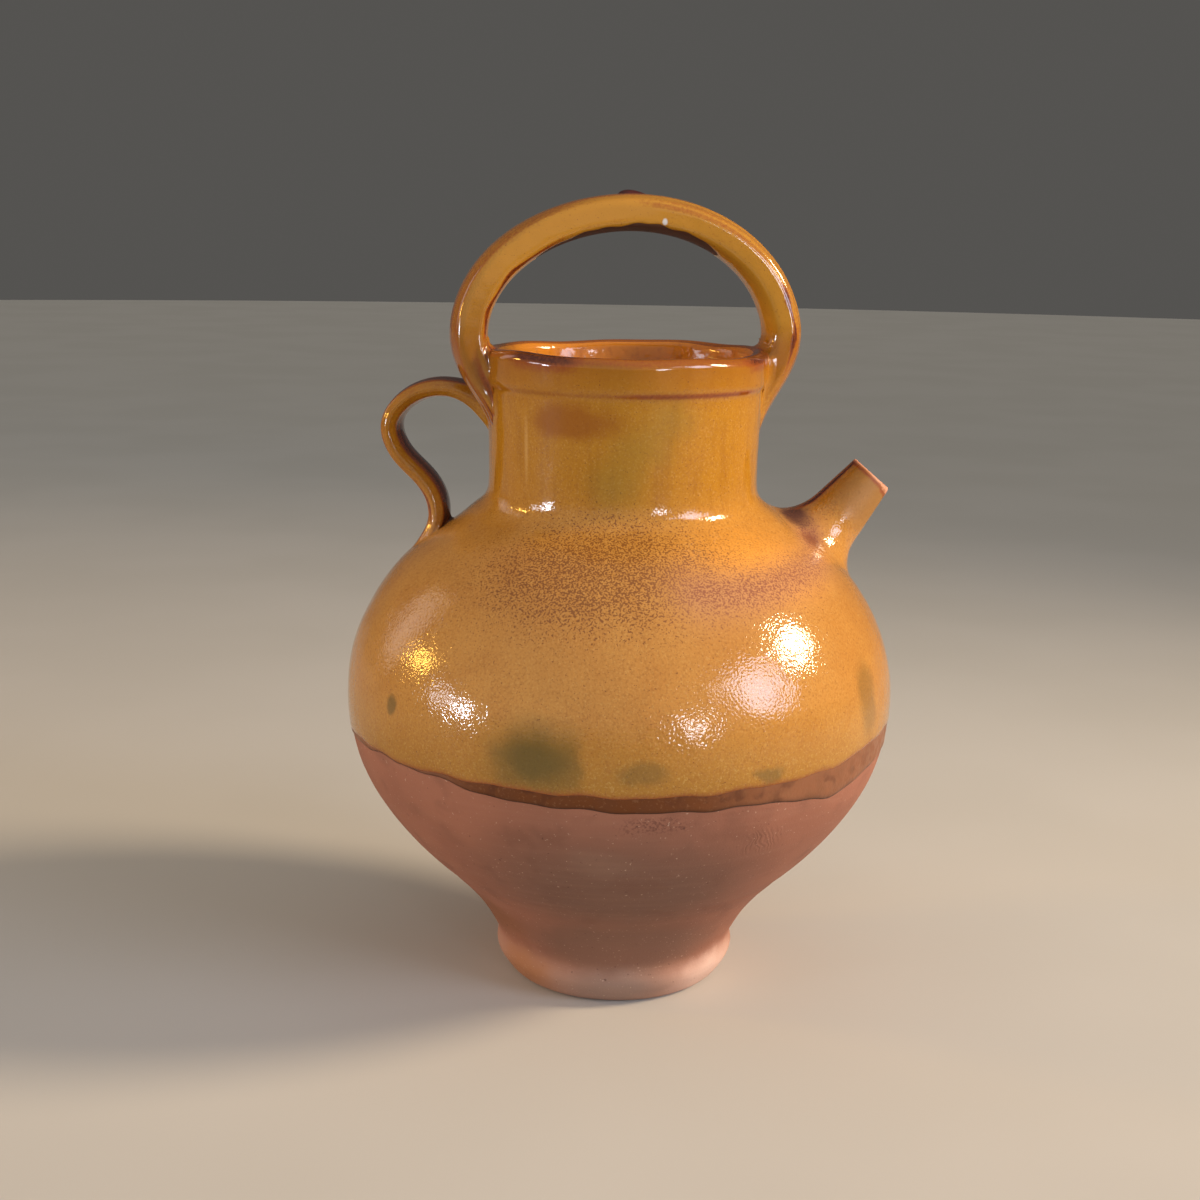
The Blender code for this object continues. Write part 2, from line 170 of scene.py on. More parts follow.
wall = smooth_curve(BODY_STATIONS, WALL_SPACING)
band = smooth_curve(BAND_STATIONS, BAND_SPACING)
lip = arc(LIP_CENTRE, LIP_RADIUS, 0, 180, 15)
inside_wall = offset(smooth_curve(INSIDE_STATIONS, INSIDE_SPACING), -WALL)
inside_floor = smooth_curve(FLOOR_STATIONS[::-1], FLOOR_SPACING)
inside = np.concatenate((inside_floor, inside_wall[2:-1], lip[-1:]))[::-1]
print("outline:", len(wall) + len(band) + len(lip), "points outside,", len(inside), "inside")

# %% [markdown]
# ## Turning an outline
# By hand: draw the outline by extruding one vertex from station to station, then give it a Screw
# modifier of one full turn and no rise, which is a lathe. The Spin tool would do the same, but it
# is slow with so many rings. A wheel never runs perfectly true, so every turned piece is then moved
# by the same small wobble, and the lip by a little more. On average the wall moves in and the lip
# down, so that the jug doesn't outgrow the solids.

# %% Turn an outline
SEGMENTS = 256
MERGE = 0.002
WOBBLE = 0.16
WOBBLE_WAVES = ((1.0, 2, 1.1, 1 / 70), (0.5, 3, 0.0, -1 / 50), (0.1, 1, 0.0, math.tau / 11))
WOBBLE_MEAN = -1.2
WOBBLE_RISE = (2, 30)
LIP_WAVE = 0.45
LIP_WAVES = ((1.0, 2, 0.6, 0.0), (0.6, 5, 2.0, 0.0), (0.4, 9, 0.0, 0.0))
LIP_MEAN = -0.9
LIP_WAVE_RISE = (248, 257)


def draw_chain(name, points):
    """Draw (radius, height) points as one chain of edges and stay in edit mode."""
    bpy.ops.object.select_all(action="DESELECT")
    bpy.ops.mesh.primitive_plane_add(size=MM)
    piece = bpy.context.object
    piece.name = name
    piece.data.name = name
    bpy.ops.object.mode_set(mode="EDIT")
    bpy.ops.mesh.merge(type="CENTER")
    bpy.ops.transform.translate(value=(points[0][0] * MM, 0, points[0][1] * MM))
    for radius, height in np.diff(points, axis=0):
        bpy.ops.mesh.extrude_vertices_move(
            TRANSFORM_OT_translate={"value": (radius * MM, 0, height * MM)})
    return piece


def turn_on_wheel(name, points):
    """Spin an outline round Z into a closed piece."""
    piece = draw_chain(name, points)
    bpy.ops.object.mode_set(mode="OBJECT")
    bpy.ops.object.modifier_add(type="SCREW")
    lathe = piece.modifiers[-1]
    lathe.axis = "Z"
    lathe.angle = math.tau
    lathe.steps = lathe.render_steps = SEGMENTS
    lathe.use_merge_vertices = True
    lathe.merge_threshold = MERGE * MM
    bpy.ops.object.modifier_apply(modifier=lathe.name)
    bpy.ops.object.mode_set(mode="EDIT")
    bpy.ops.mesh.select_all(action="SELECT")
    bpy.ops.mesh.remove_doubles(threshold=MERGE * MM)
    bpy.ops.mesh.normals_make_consistent(inside=False)
    bpy.ops.object.mode_set(mode="OBJECT")
    bpy.ops.object.shade_smooth()
    return piece


def read_points(piece):
    """Vertices of a piece in millimetres."""
    flat = np.zeros(len(piece.data.vertices) * 3)
    piece.data.vertices.foreach_get("co", flat)
    return flat.reshape(-1, 3) / MM


def write_points(piece, points):
    """Put the vertices of a piece at new places, given in millimetres."""
    piece.data.vertices.foreach_set("co", (points * MM).astype(np.float32).ravel())
    piece.data.update()


def round_axis(points):
    """Azimuth in degrees, radius and height of points."""
    azimuth = np.degrees(np.arctan2(points[:, 1], points[:, 0])) % 360
    return azimuth, np.hypot(points[:, 0], points[:, 1]), points[:, 2].copy()


def from_axis(azimuth, radius, height):
    """Points from their azimuths, radii and heights."""
    turn = np.radians(azimuth)
    return np.stack((radius * np.cos(turn), radius * np.sin(turn), height), axis=1)


def ease(value, start, end):
    """Smooth step from 0 at start to 1 at end."""
    share = np.clip((value - start) / (end - start), 0, 1)
    return share * share * (3 - 2 * share)


def ripples(waves, along, height=0.0):
    """Sum of sine waves: each row has a wave's size, its count, its start and its turn per mm of height."""
    return sum(size * np.sin(count * along + start + climb * height) for size, count, start, climb in waves)


def wobble(piece):
    """Give a turned piece the small errors of a hand-thrown wall."""
    azimuth, radius, height = round_axis(read_points(piece))
    turn = np.radians(azimuth)
    error = WOBBLE * (WOBBLE_MEAN + ripples(WOBBLE_WAVES, turn, height))
    radius += np.where(radius > 1, error * ease(height, *WOBBLE_RISE), 0)
    height += LIP_WAVE * (LIP_MEAN + ripples(LIP_WAVES, turn)) * ease(height, *LIP_WAVE_RISE)
    write_points(piece, from_axis(azimuth, radius, height))


print("turned pieces have", SEGMENTS, "segments")

# %% [markdown]
# ## Bare clay body
# The body is one wall from the middle of the foot, up the outside, over the lip and down to the
# floor inside. A shallow groove, left by the turning tool, runs round above the foot.

# %% Bare clay body
FOOT_STATIONS = ((0.0, 0.0), (14.0, 0.0), (28.0, 0.0), (40.0, 0.0), (41.0, 0.05))
GROOVE_HEIGHT = 50.5
GROOVE_DEPTH = 0.35
GROOVE_WIDTH = 1.6


def wall_radius(height):
    """Radius of the clay at a height on the outside."""
    return np.interp(height, wall[:, 1], wall[:, 0])


foot = np.array(FOOT_STATIONS)
body = turn_on_wheel("terracotta_body", np.concatenate((foot, wall, band[1:], lip[1:], inside[1:])))
azimuth, radius, height = round_axis(read_points(body))
outer = radius > wall_radius(height) - 1
radius -= np.where(outer, GROOVE_DEPTH * np.exp(-((height - GROOVE_HEIGHT) / GROOVE_WIDTH) ** 2), 0)
write_points(body, from_axis(azimuth, radius, height))
wobble(body)
print("terracotta body:", len(body.data.polygons), "faces")

# %% [markdown]
# ## Edge lines of the glaze
# Slip and glaze were poured on and stopped at a wavy line round the belly. Below it the clear glaze
# ran on a little, straight onto red clay, and fired brown. Both lines are given as heights at a few
# azimuths and eased from one to the next, with a fine ripple on top, because a poured edge is never
# quite smooth.

# %% Edge lines of the glaze
COAT_EDGE = ((0, 114.6), (60, 112.4), (120, 110.4), (182, 108.6), (198, 110.4), (212, 109.4), (230, 110.2),
             (265, 109.3), (300, 110.8), (328, 115.2))
RUN_EDGE = ((0, 105.5), (60, 103.0), (120, 105.0), (170, 106.6), (190, 107.6), (206, 109.6),
            (221, 108.6), (240, 104.9), (268, 103.3), (290, 103.4), (308, 99.2), (328, 104.6))
EDGE_RIPPLE = 0.35
EDGE_WAVES = ((1.0, 23, 0.0, 0.0), (0.7, 37, 1.0, 0.0))


def edge_line(stations, azimuth):
    """Height of an edge at each azimuth, eased from station to station, with a fine ripple."""
    turns = np.array([turn for turn, _ in stations] + [360 + stations[0][0]])
    levels = np.array([level for _, level in stations] + [stations[0][1]])
    span = np.clip(np.searchsorted(turns, azimuth, side="right") - 1, 0, len(turns) - 2)
    share = ease(azimuth, turns[span], turns[span + 1])
    level = levels[span] + (levels[span + 1] - levels[span]) * share
    return level + EDGE_RIPPLE * ripples(EDGE_WAVES, np.radians(azimuth))


front_edge = edge_line(COAT_EDGE, np.array([CAMERA_AZIMUTH]))
print("glaze edge at the front:", front_edge.round(1), "mm")

# %% [markdown]
# ## Honey coat
# The coat is a thin shell on the clay. A lathe can only turn it with a level edge, so its lower
# rings are slid up or down the wall afterwards, to the wavy line. Low lumps keep its reflections
# from looking machined, and beside the two attachments the foot of the neck was filled with clay.

# %% Honey coat
EDGE_START = 111.0
EDGE_FADE = 45.0
EDGE_STEPS = np.array((0.0, 0.12, 0.35, 0.8, 1.5))
EDGE_STEPS_END = 2.2
COAT_ROUNDING = 2.4
COAT_END = (0.97, 0.9, 0.7, 0.35)
COAT_BACK = 0.1
SLIDE_TOP = 200.0
LUMP_SIZE = 16.0
LUMP_DEPTH = 0.18
LUMP_RISE = 4.0
SEAM_TURN = 150
SKIN_TOUCH = 0.01
NECK_FILLS = ((166.0, 48.0, 3.0), (354.0, 40.0, 4.0))
NECK_FILL_HEIGHT = 196.0
NECK_FILL_REACH = 5.0


def around(turn, centre, half_width):
    """Mark round an angle in degrees: 1 in its middle, 0 beyond its half width."""
    gap = np.abs((turn - centre + 180) % 360 - 180)
    return 1 - ease(gap, 0.45 * half_width, half_width)


start = np.stack((wall_radius(EDGE_START + EDGE_STEPS), EDGE_START + EDGE_STEPS), axis=1)
clay_line = np.concatenate((start, wall[wall[:, 1] > EDGE_START + EDGE_STEPS_END], band[1:],
                            arc(LIP_CENTRE, LIP_RADIUS, 0, SEAM_TURN, 13)[1:]))
rounding = np.clip((clay_line[:, 1] - EDGE_START) / COAT_ROUNDING, 0, 1)
thickness = COAT * np.sqrt(1 - (1 - rounding) ** 2)
thickness[-len(COAT_END):] *= COAT_END
outer_line = offset(clay_line, thickness[:, None])
inner_line = offset(clay_line, -COAT_BACK)[::-3]
coat = turn_on_wheel("honey_glaze_coat", np.concatenate((outer_line, inner_line, outer_line[:1])))
azimuth, radius, height = round_axis(read_points(coat))
from_skin = np.abs(radius[:, None] - outer_line[:, 0]) + np.abs(height[:, None] - outer_line[:, 1])
on_skin = from_skin.min(axis=1) < SKIN_TOUCH
rise = height - EDGE_START
slid = height + (edge_line(COAT_EDGE, azimuth) - EDGE_START) * (1 - ease(rise, 0, EDGE_FADE))
radius += np.where(height < SLIDE_TOP, wall_radius(slid) - wall_radius(height), 0)
lumps = np.array([noise.noise(Vector(point) / LUMP_SIZE) for point in from_axis(azimuth, radius, slid)])
radius += LUMP_DEPTH * (lumps - 0.5) * ease(rise, 0, LUMP_RISE)
for middle, half_width, depth in NECK_FILLS:
    fill = depth * np.exp(-((slid - NECK_FILL_HEIGHT) / NECK_FILL_REACH) ** 2)
    radius += np.where(on_skin, fill * around(azimuth, middle, half_width), 0)
write_points(coat, from_axis(azimuth, radius, slid))
wobble(coat)
print("honey coat:", len(coat.data.polygons), "faces, lowest", round(float(slid.min()), 1), "mm")

# %% [markdown]
# ## Marks on the coat
# Some marks follow the form: glaze that drew thin over an edge shows the red clay through it, and a
# rosy streak of iron curls from the spout across the shoulder. Such marks are stored on the points
# as numbers from 0 to 1, and the finish reads them. Painting them by hand in Vertex Paint would do
# the same.

# %% Marks on the coat
ROSY_STREAK = ((68.7, 1.5, 192.0), (72.7, -15.2, 186.5), (72.0, -32.9, 182.9), (56.0, -61.8, 179.8),
               (34.4, -79.0, 178.0), (16.0, -84.0, 178.5))
ROSY_REACH = (6.0, 13.0)
LINE_SPACING = 2.0
EDGE_REACH = 1.7
EDGE_THIN = 0.62
BAND_FOOT = 246.2
BAND_LINE_WIDTH = 1.1
BAND_THIN = 0.28
BAND_FRONT_THIN = 0.42
BAND_FRONT = (250, 270, 312, 330)
LIP_THIN = 0.42
LIP_RISE = (256.5, 258.5)
LIP_PATCHES = ((226.0, 21.0), (334.0, 24.0))
LIP_PATCH_THIN = 0.5
LIP_PATCH_RISE = (252.0, 256.5)


def store(piece, mark, values):
    """Keep one number for each point of a piece, for its finish to read."""
    layer = piece.data.attributes.new(mark, "FLOAT", "POINT")
    layer.data.foreach_set("value", np.asarray(values, np.float32).ravel())


def stretch(value, start, full, fading, end):
    """Mark over a stretch: 0 before its start, 1 from full to fading, 0 after its end."""
    return ease(value, start, full) * (1 - ease(value, fading, end))


def near_line(points, stations, start_reach, end_reach):
    """Mark along a smooth line in space: 1 on it, fading over a reach in mm that grows along it."""
    line = smooth_curve(stations, LINE_SPACING)
    reach = np.linspace(start_reach, end_reach, len(line))
    gaps = (np.linalg.norm(points[:, None] - line, axis=2) / reach).min(axis=1)
    return np.exp(-gaps ** 2)


band_line = np.exp(-((slid - BAND_FOOT) / BAND_LINE_WIDTH) ** 2)
band_line *= BAND_THIN + BAND_FRONT_THIN * stretch(azimuth, *BAND_FRONT)
lip_marks = LIP_THIN * ease(slid, *LIP_RISE)
for middle, half_width in LIP_PATCHES:
    lip_marks += LIP_PATCH_THIN * around(azimuth, middle, half_width) * ease(slid, *LIP_PATCH_RISE)
edge_mark = EDGE_THIN * np.exp(-np.clip(rise, 0, None) / EDGE_REACH)
store(coat, "thin", np.maximum.reduce((edge_mark, band_line, lip_marks)))
store(coat, "rosy", near_line(read_points(coat), ROSY_STREAK, *ROSY_REACH))
print("marks on the coat:", len(coat.data.attributes), "layers")

# %% [markdown]
# ## Brown run of clear glaze
# This is the film that ran past the slip: thin, with a fat rounded bead where it stopped. It is
# turned at a plain size first, and each point is then put between the two edge lines.

# %% Brown run of clear glaze
RUN_FILM = 0.3
RUN_BEAD = 0.2
RUN_STEPS = (0.0, 0.03, 0.07, 0.13, 0.22, 0.36, 0.55, 0.78, 1.0)
RUN_BACK_STEPS = np.array((1.0, 0.6, 0.3, 0.0))
RUN_BEAD_PLACE = 0.14
RUN_BEAD_WIDTH = 0.09
RUN_ROUNDING = 0.13
RUN_UNDER = 3.0
RUN_LEAST = 0.4
RUN_EDGE_REACH = 0.6
TURNING_RADIUS = 100.0
TURNING_HEIGHT = 10.0

levels = np.array(RUN_STEPS)
film = RUN_FILM + RUN_BEAD * np.exp(-((levels - RUN_BEAD_PLACE) / RUN_BEAD_WIDTH) ** 2)
film *= np.sqrt(1 - (1 - np.clip(levels / RUN_ROUNDING, 0, 1)) ** 2)
skin = np.stack((TURNING_RADIUS + film, levels * TURNING_HEIGHT), axis=1)
back_radius = np.full(len(RUN_BACK_STEPS), TURNING_RADIUS - COAT_BACK)
back = np.stack((back_radius, RUN_BACK_STEPS * TURNING_HEIGHT), axis=1)
run = turn_on_wheel("clear_glaze_run", np.concatenate((skin, back, skin[:1])))
azimuth, radius, height = round_axis(read_points(run))
top = edge_line(COAT_EDGE, azimuth) + RUN_UNDER
low = np.minimum(edge_line(RUN_EDGE, azimuth), top - RUN_UNDER - RUN_LEAST)
level = low + (top - low) * height / TURNING_HEIGHT
write_points(run, from_axis(azimuth, wall_radius(level) + radius - TURNING_RADIUS, level))
wobble(run)
store(run, "thin", np.exp(-(level - low) / RUN_EDGE_REACH))
print("glaze run:", len(run.data.polygons), "faces, lowest", round(float(level.min()), 1), "mm")

# %% [markdown]
# ## Lining
# The inside was glazed by swilling, so it has a coat of its own, which starts under the lip. It is
# turned like the others, as a closed shell that meets the axis at the floor.

# %% Lining glaze
LINING_FILM = 0.7
LINING_BACK = 0.05
LINING_TURN = 120

lining_line = np.concatenate((arc(LIP_CENTRE, LIP_RADIUS, LINING_TURN, 180, 6), inside[1:]))
lining_skin = offset(lining_line, LINING_FILM)
lining_skin[-1, 0] = 0
lining_back = offset(lining_line, LINING_BACK)[::-2]
lining_back[0, 0] = 0
lining = turn_on_wheel("brown_lining", np.concatenate((lining_skin, lining_back, lining_skin[:1])))
wobble(lining)
print("lining:", len(lining.data.polygons), "faces")

# %% [markdown]
# ## How a pulled handle is made
# A handle is pulled from wet clay, so it is a tube whose section changes slowly along a curve. By
# hand: take a circle, extrude it again and again, and move, turn and scale each new ring. The rings
# are worked out here from a path and a section, and placed one by one as they are extruded.

# %% Rings along a path
SIDES = 96
STEP = 0.5
SECTION = np.arange(SIDES) * math.tau / SIDES
SECTION_TURN = np.degrees(SECTION)
SMOOTH_ANGLE = math.radians(55)


def lengths_along(path):
    """Distance along a path at each of its points."""
    return np.concatenate(([0.0], np.cumsum(np.linalg.norm(np.diff(path, axis=0), axis=1))))


def oval(fullness, ridges, count, turn):
    """Width and depth of a soft oval section with long ridges; a fullness under 1 fills its corners."""
    swell = 1 + ridges * np.cos(count * SECTION + turn)
    width = np.copysign(np.abs(np.cos(SECTION)) ** fullness, np.cos(SECTION))
    depth = np.copysign(np.abs(np.sin(SECTION)) ** fullness, np.sin(SECTION))
    return width * swell, depth * swell


def strap_columns(path, azimuth, half_width, half_thickness, section):
    """Grid of strap points by step and side, with the centres and directions of its steps."""
    outward = np.array(polar(azimuth, 1, 0))
    across = np.array(polar(azimuth + 90, 1, 0))
    up = np.array((0.0, 0.0, 1.0))
    along = np.gradient(path, axis=0)
    along /= np.linalg.norm(along, axis=1)[:, None]
    centres = path[:, :1] * outward + path[:, 1:] * up
    directions = along[:, :1] * outward + along[:, 1:] * up
    normals = along[:, 1:] * outward - along[:, :1] * up
    width, depth = section
    grid = (centres[:, None] + half_width[:, None, None] * width[None, :, None] * across
            + half_thickness[:, None, None] * depth[None, :, None] * normals[:, None])
    return grid, centres, directions


def pull_tube(name, rings):
    """Extrude a circle ring by ring into a closed tube."""
    bpy.ops.object.select_all(action="DESELECT")
    bpy.ops.mesh.primitive_circle_add(vertices=SIDES, radius=MM)
    piece = bpy.context.object
    piece.name = name
    piece.data.name = name
    bpy.ops.object.mode_set(mode="EDIT")
    for number, ring in enumerate(rings):
        if number > 0:
            bpy.ops.mesh.extrude_region_move()
        bm = bmesh.from_edit_mesh(piece.data)
        bm.verts.ensure_lookup_table()
        for vert, place in zip(bm.verts[-SIDES:], ring):
            vert.co = Vector(place) * MM
        bmesh.update_edit_mesh(piece.data)
    bpy.ops.mesh.select_all(action="SELECT")
    bpy.ops.mesh.fill_holes(sides=0)
    bpy.ops.mesh.normals_make_consistent(inside=False)
    bpy.ops.object.mode_set(mode="OBJECT")
    bpy.ops.object.shade_smooth_by_angle(angle=SMOOTH_ANGLE)
    return piece


print("handles have", SIDES, "sides")

# %% [markdown]
# ## How a root is seated
# Where a handle or the spout meets the wall its clay was thumbed out, so there is no sharp corner:
# the tube turns outwards in a fillet. A Boolean and a bevel could make that, but on curved walls the
# bevel breaks up. Here every column of the tube is followed down to the glazed wall, and its last
# few millimetres are spread along the wall, more and more, until it dips just under the glaze. A cap
# that follows the wall from inside closes it.

# %% Seat a root on the wall
ROOT_RINGS = 20
ROOT_SUNK = 0.06
ROOT_RUN_OUT = 1.15
ROOT_CAP = ((4, 0.8), (10, 1.6))
ROOT_SEARCH = 0.5
SPREAD_DOWN = 0.9
TINY = 1e-6

skin_faces = [tuple(face.vertices) for face in coat.data.polygons if on_skin[list(face.vertices)].all()]
coat_tree = BVHTree.FromPolygons([vert.co for vert in coat.data.vertices], skin_faces)


def above_coat(point):
    """Height of a point in mm above the glazed wall, its foot on the wall and the wall's normal."""
    place, normal, _, _ = coat_tree.find_nearest(Vector(point) * MM)
    place = np.array(place) / MM
    normal = np.array(normal)
    return float(np.dot(point - place, normal)), place, normal


def fillet_span(column, height):
    """Steps of one column between which its fillet lies: where it leaves the tube and meets the wall."""
    gaps = np.full(len(column), np.inf)
    for first in range(len(column) - 1, -1, -1):
        gaps[first] = above_coat(column[first])[0]
        if gaps[first] < -ROOT_SEARCH:
            break
    above = np.nonzero(gaps[first:] > height)[0]
    leave = first + above[0] if len(above) else len(column) - 1
    outside = np.nonzero(gaps[first:leave + 1] > 0)[0]
    meet = first + outside[0] if len(outside) else leave
    if meet > 0 and np.isfinite(gaps[meet - 1]):
        return leave, meet - gaps[meet] / (gaps[meet] - gaps[meet - 1])
    return leave, float(meet)


def seat(grid, centres, directions, height, reach):
    """Fillet at the start of a tube: its rings, and the step where each column leaves it."""
    height = np.broadcast_to(height, SIDES)
    reach = np.broadcast_to(reach, SIDES)
    rings = np.zeros((ROOT_RINGS + len(ROOT_CAP), SIDES, 3))
    leave = np.zeros(SIDES)
    shares = np.sin(np.linspace(0, math.pi / 2, ROOT_RINGS))
    for side in range(SIDES):
        leave[side], meet = fillet_span(grid[:, side], height[side])
        for k, share in enumerate(shares):
            step = leave[side] + (meet - leave[side]) * share
            i = min(int(step), len(grid) - 2)
            point = grid[i, side] + (grid[i + 1, side] - grid[i, side]) * (step - i)
            gap, _, normal = above_coat(point)
            gap = max(gap, 0.0)
            from_centre = point - centres[i]
            spread = from_centre / np.linalg.norm(from_centre) - SPREAD_DOWN * directions[i]
            spread -= normal * np.dot(spread, normal)
            spread /= max(np.linalg.norm(spread), TINY)
            swell = 1 - math.sqrt(max(0.0, 1 - (1 - min(1.0, gap / height[side])) ** 2))
            if k == ROOT_RINGS - 1:
                swell = ROOT_RUN_OUT
            _, foot, normal = above_coat(point + spread * reach[side] * swell)
            rings[k, side] = foot + normal * (gap if k < ROOT_RINGS - 1 else -ROOT_SUNK)
        for k, (back, depth) in enumerate(ROOT_CAP):
            _, foot, normal = above_coat(rings[ROOT_RINGS - back, side])
            rings[ROOT_RINGS + k, side] = foot - normal * depth
    return rings[::-1], leave


def between_roots(grid, leave, arrive, count):
    """Rings that share out each column between its two ends."""
    rings = np.zeros((count, SIDES, 3))
    sides = np.arange(SIDES)
    for k in range(count):
        step = leave + (arrive - leave) * (k + 1) / (count + 1)
        low = np.minimum(step.astype(int), len(grid) - 2)
        rest = (step - low)[:, None]
        rings[k] = grid[low, sides] * (1 - rest) + grid[low + 1, sides] * rest
    return rings


def seat_handle(grid, centres, directions, steps, first_fillet, last_fillet, count):
    """Rings of a handle from root to root, each root seated within its number of steps."""
    first_root, leave = seat(grid[:steps], centres[:steps], directions[:steps], *first_fillet)
    last_root, last_leave = seat(grid[::-1][:steps], centres[::-1][:steps], -directions[::-1][:steps],
                                 *last_fillet)
    middle = between_roots(grid, leave, len(grid) - 1 - last_leave, count)
    return np.concatenate((first_root, middle, last_root[::-1]))


def from_middle(rings):
    """Unit directions from the middle of each ring to its points."""
    out = rings - rings.mean(axis=1)[:, None]
    return out / np.maximum(np.linalg.norm(out, axis=2), TINY)[..., None]


print("glazed skin to seat on:", len(skin_faces), "faces")

# %% [markdown]
# ## Stirrup handle
# The big handle arches over the mouth in the plane of the spout. Its section is a soft oval with a
# few long ridges, left by the potter's fingers, and on the spout side its outer corner is worn. The
# path is half an ellipse, and its feet slide down over the rim into the neck, thinner and narrower.

# %% Stirrup handle
ARCH_HALF_SPAN = 62.8
ARCH_SPRING = 264.5
ARCH_TOP = 312.7
ARCH_SHIFT = 0.6
ARCH_LEAN = 1.6
ARCH_HALF_SIZES = np.array((12.0, 7.2))
ARCH_FOOT_HALF_SIZES = np.array((8.5, 5.0))
ARCH_TAPER = 34.0
ARCH_FOOT_SPOUT_SIDE = ((48.6, 224.0), (51.8, 234.5), (56.4, 246.0))
ARCH_FOOT_HANDLE_SIDE = ((-56.2, 246.5), (-51.4, 238.0), (-47.8, 231.0))
ARCH_SECTION = oval(0.68, 0.02, 6, math.pi)
ARCH_SPOUT_SIDE = (-10, 40)
ARCH_SLANT = 0.06
ARCH_WORN = 0.06
ARCH_WORN_PLACE = (140, 34)
ARCH_RINGS = 150
ARCH_ROOT_STEPS = round(90 / STEP)
ARCH_FILLET = (4.0, 3.2)

turns = np.linspace(0, math.pi, 13)
crown = np.stack((ARCH_SHIFT + ARCH_HALF_SPAN * np.cos(turns) + ARCH_LEAN * np.sin(turns) ** 3,
                  ARCH_SPRING + (ARCH_TOP - ARCH_SPRING) * np.sin(turns)), axis=1)
arch_path = smooth_curve((*ARCH_FOOT_SPOUT_SIDE, *crown, *ARCH_FOOT_HANDLE_SIDE), STEP)
arch_length = lengths_along(arch_path)
full = ease(np.minimum(arch_length, arch_length[-1] - arch_length), 0, ARCH_TAPER)[:, None]
half_sizes = ARCH_FOOT_HALF_SIZES + (ARCH_HALF_SIZES - ARCH_FOOT_HALF_SIZES) * full
grid, centres, directions = strap_columns(arch_path, 0.0, *half_sizes.T, ARCH_SECTION)
spout_side = ease(arch_path[:, 0], *ARCH_SPOUT_SIDE)[:, None]
grid[..., 1] *= 1 + ARCH_SLANT * spout_side * ARCH_SECTION[1]
worn = ARCH_WORN * spout_side * around(SECTION_TURN, *ARCH_WORN_PLACE)
grid += (centres[:, None] - grid) * worn[..., None]
arch_rings = seat_handle(grid, centres, directions, ARCH_ROOT_STEPS, ARCH_FILLET, ARCH_FILLET, ARCH_RINGS)
print("stirrup rings:", len(arch_rings))

# %% [markdown]
# ## Underside and folds of the stirrup handle
# The glaze was poured over the arch and dripped off below, so it ends in a wavy edge along the
# underside of the crown, where the clay stayed dark. That edge is a small step in the form and a
# mark for the finish. On the side of the small handle the thumbed clay is left in folds.

# %% Underside and folds of the stirrup handle
UNDER_MIDDLE = 270.0
UNDER_HALF_WIDTH = 63.0
UNDER_HALF_SPAN = 45.0
UNDER_FULLNESS = 0.35
UNDER_CLOSED = 12.0
UNDER_WAVES = ((4.0, 1 / 4.1, 0.0, 0.0), (3.0, 1 / 1.9, 1.0, 0.0), (5.0, 1 / 13, 0.0, 0.0))
UNDER_MOST = 2.0
UNDER_STEP = 0.3
UNDER_STEP_WIDTH = (-0.3, 0.3)
MM_PER_DEGREE = 0.17
FOLDS = 11
FOLD_DEPTH = 0.45
FOLD_RINGS = (30, 12)

ring_count = len(arch_rings)
across_crown, _, up_arch = arch_rings.mean(axis=1).T
half_arc = np.clip(1 - (across_crown / UNDER_HALF_SPAN) ** 2, 0, 1) ** UNDER_FULLNESS
wavy = half_arc * (UNDER_HALF_WIDTH + ripples(UNDER_WAVES, across_crown))
width = np.where(up_arch > ARCH_SPRING, wavy, 0)
width -= UNDER_CLOSED * (np.abs(across_crown) > UNDER_HALF_SPAN)
from_under = np.abs((SECTION_TURN - UNDER_MIDDLE + 180) % 360 - 180)
under = np.clip((width[:, None] - from_under) * MM_PER_DEGREE, -UNDER_MOST, UNDER_MOST)
folded = ease(np.arange(ring_count), ring_count - FOLD_RINGS[0], ring_count - FOLD_RINGS[1])[:, None]
raised = FOLD_DEPTH * np.cos(FOLDS * SECTION) * folded - UNDER_STEP * ease(under, *UNDER_STEP_WIDTH)
arch_rings += raised[..., None] * from_middle(arch_rings)
stirrup = pull_tube("glazed_stirrup", arch_rings)
store(stirrup, "under", under)
print("stirrup handle:", len(stirrup.data.polygons), "faces")

# %% [markdown]
# ## Brown lines on the stirrup handle
# Over the ridges of the pulled clay the glaze drew thin, in long red-brown lines: one over the crest,
# some on the corners of the section and along the legs, and a ring round each foot.
# Each row of the table gives a line's strength, its side of the section in degrees, how far and how
# slowly it sways, its half width in degrees, and the stretches across the arch and up it where it runs.
# Fine strands, which wander a little, fill the space between.

# %% Brown lines on the stirrup handle
WHOLE = (-1000, -999, 999, 1000)
ARCH_LINES = ((0.3, 85, 0, 1, 42, WHOLE, WHOLE),
              (0.34, 162, 0, 1, 11, (-5, 12, 44, 58), WHOLE),
              (0.2, 112, 0, 1, 62, (0, 25, 999, 1000), WHOLE),
              (0.34, 128, 0, 1, 22, (-1000, -999, -30, 0), WHOLE),
              (0.85, 166, 4, 2.3, 8, (45, 55, 999, 1000), (256, 263, 284, 292)),
              (0.85, 219, 5, 3.1, 13, (-1000, -999, -52, -18), (250, 258, 999, 1000)))
ARCH_STRANDS = (8, 1.3, 17.0)
ARCH_STRAND_THIN = 0.1
ARCH_STRAND_CHANGE = 0.08
FOOT_LINE_RINGS = 10
FOOT_LINE_START = 2
FOOT_LINE_FADES = ((0.8, 0.1), (0.85, 0.15))
FOOT_LINE_MEAN = 0.6
FOOT_LINE_WAVES = ((0.4, 3, 1.0, 0.0),)
FOLD_LINE_GAIN = 1.4
FOLD_LINE_START = 0.5
FOLD_THIN = 0.75


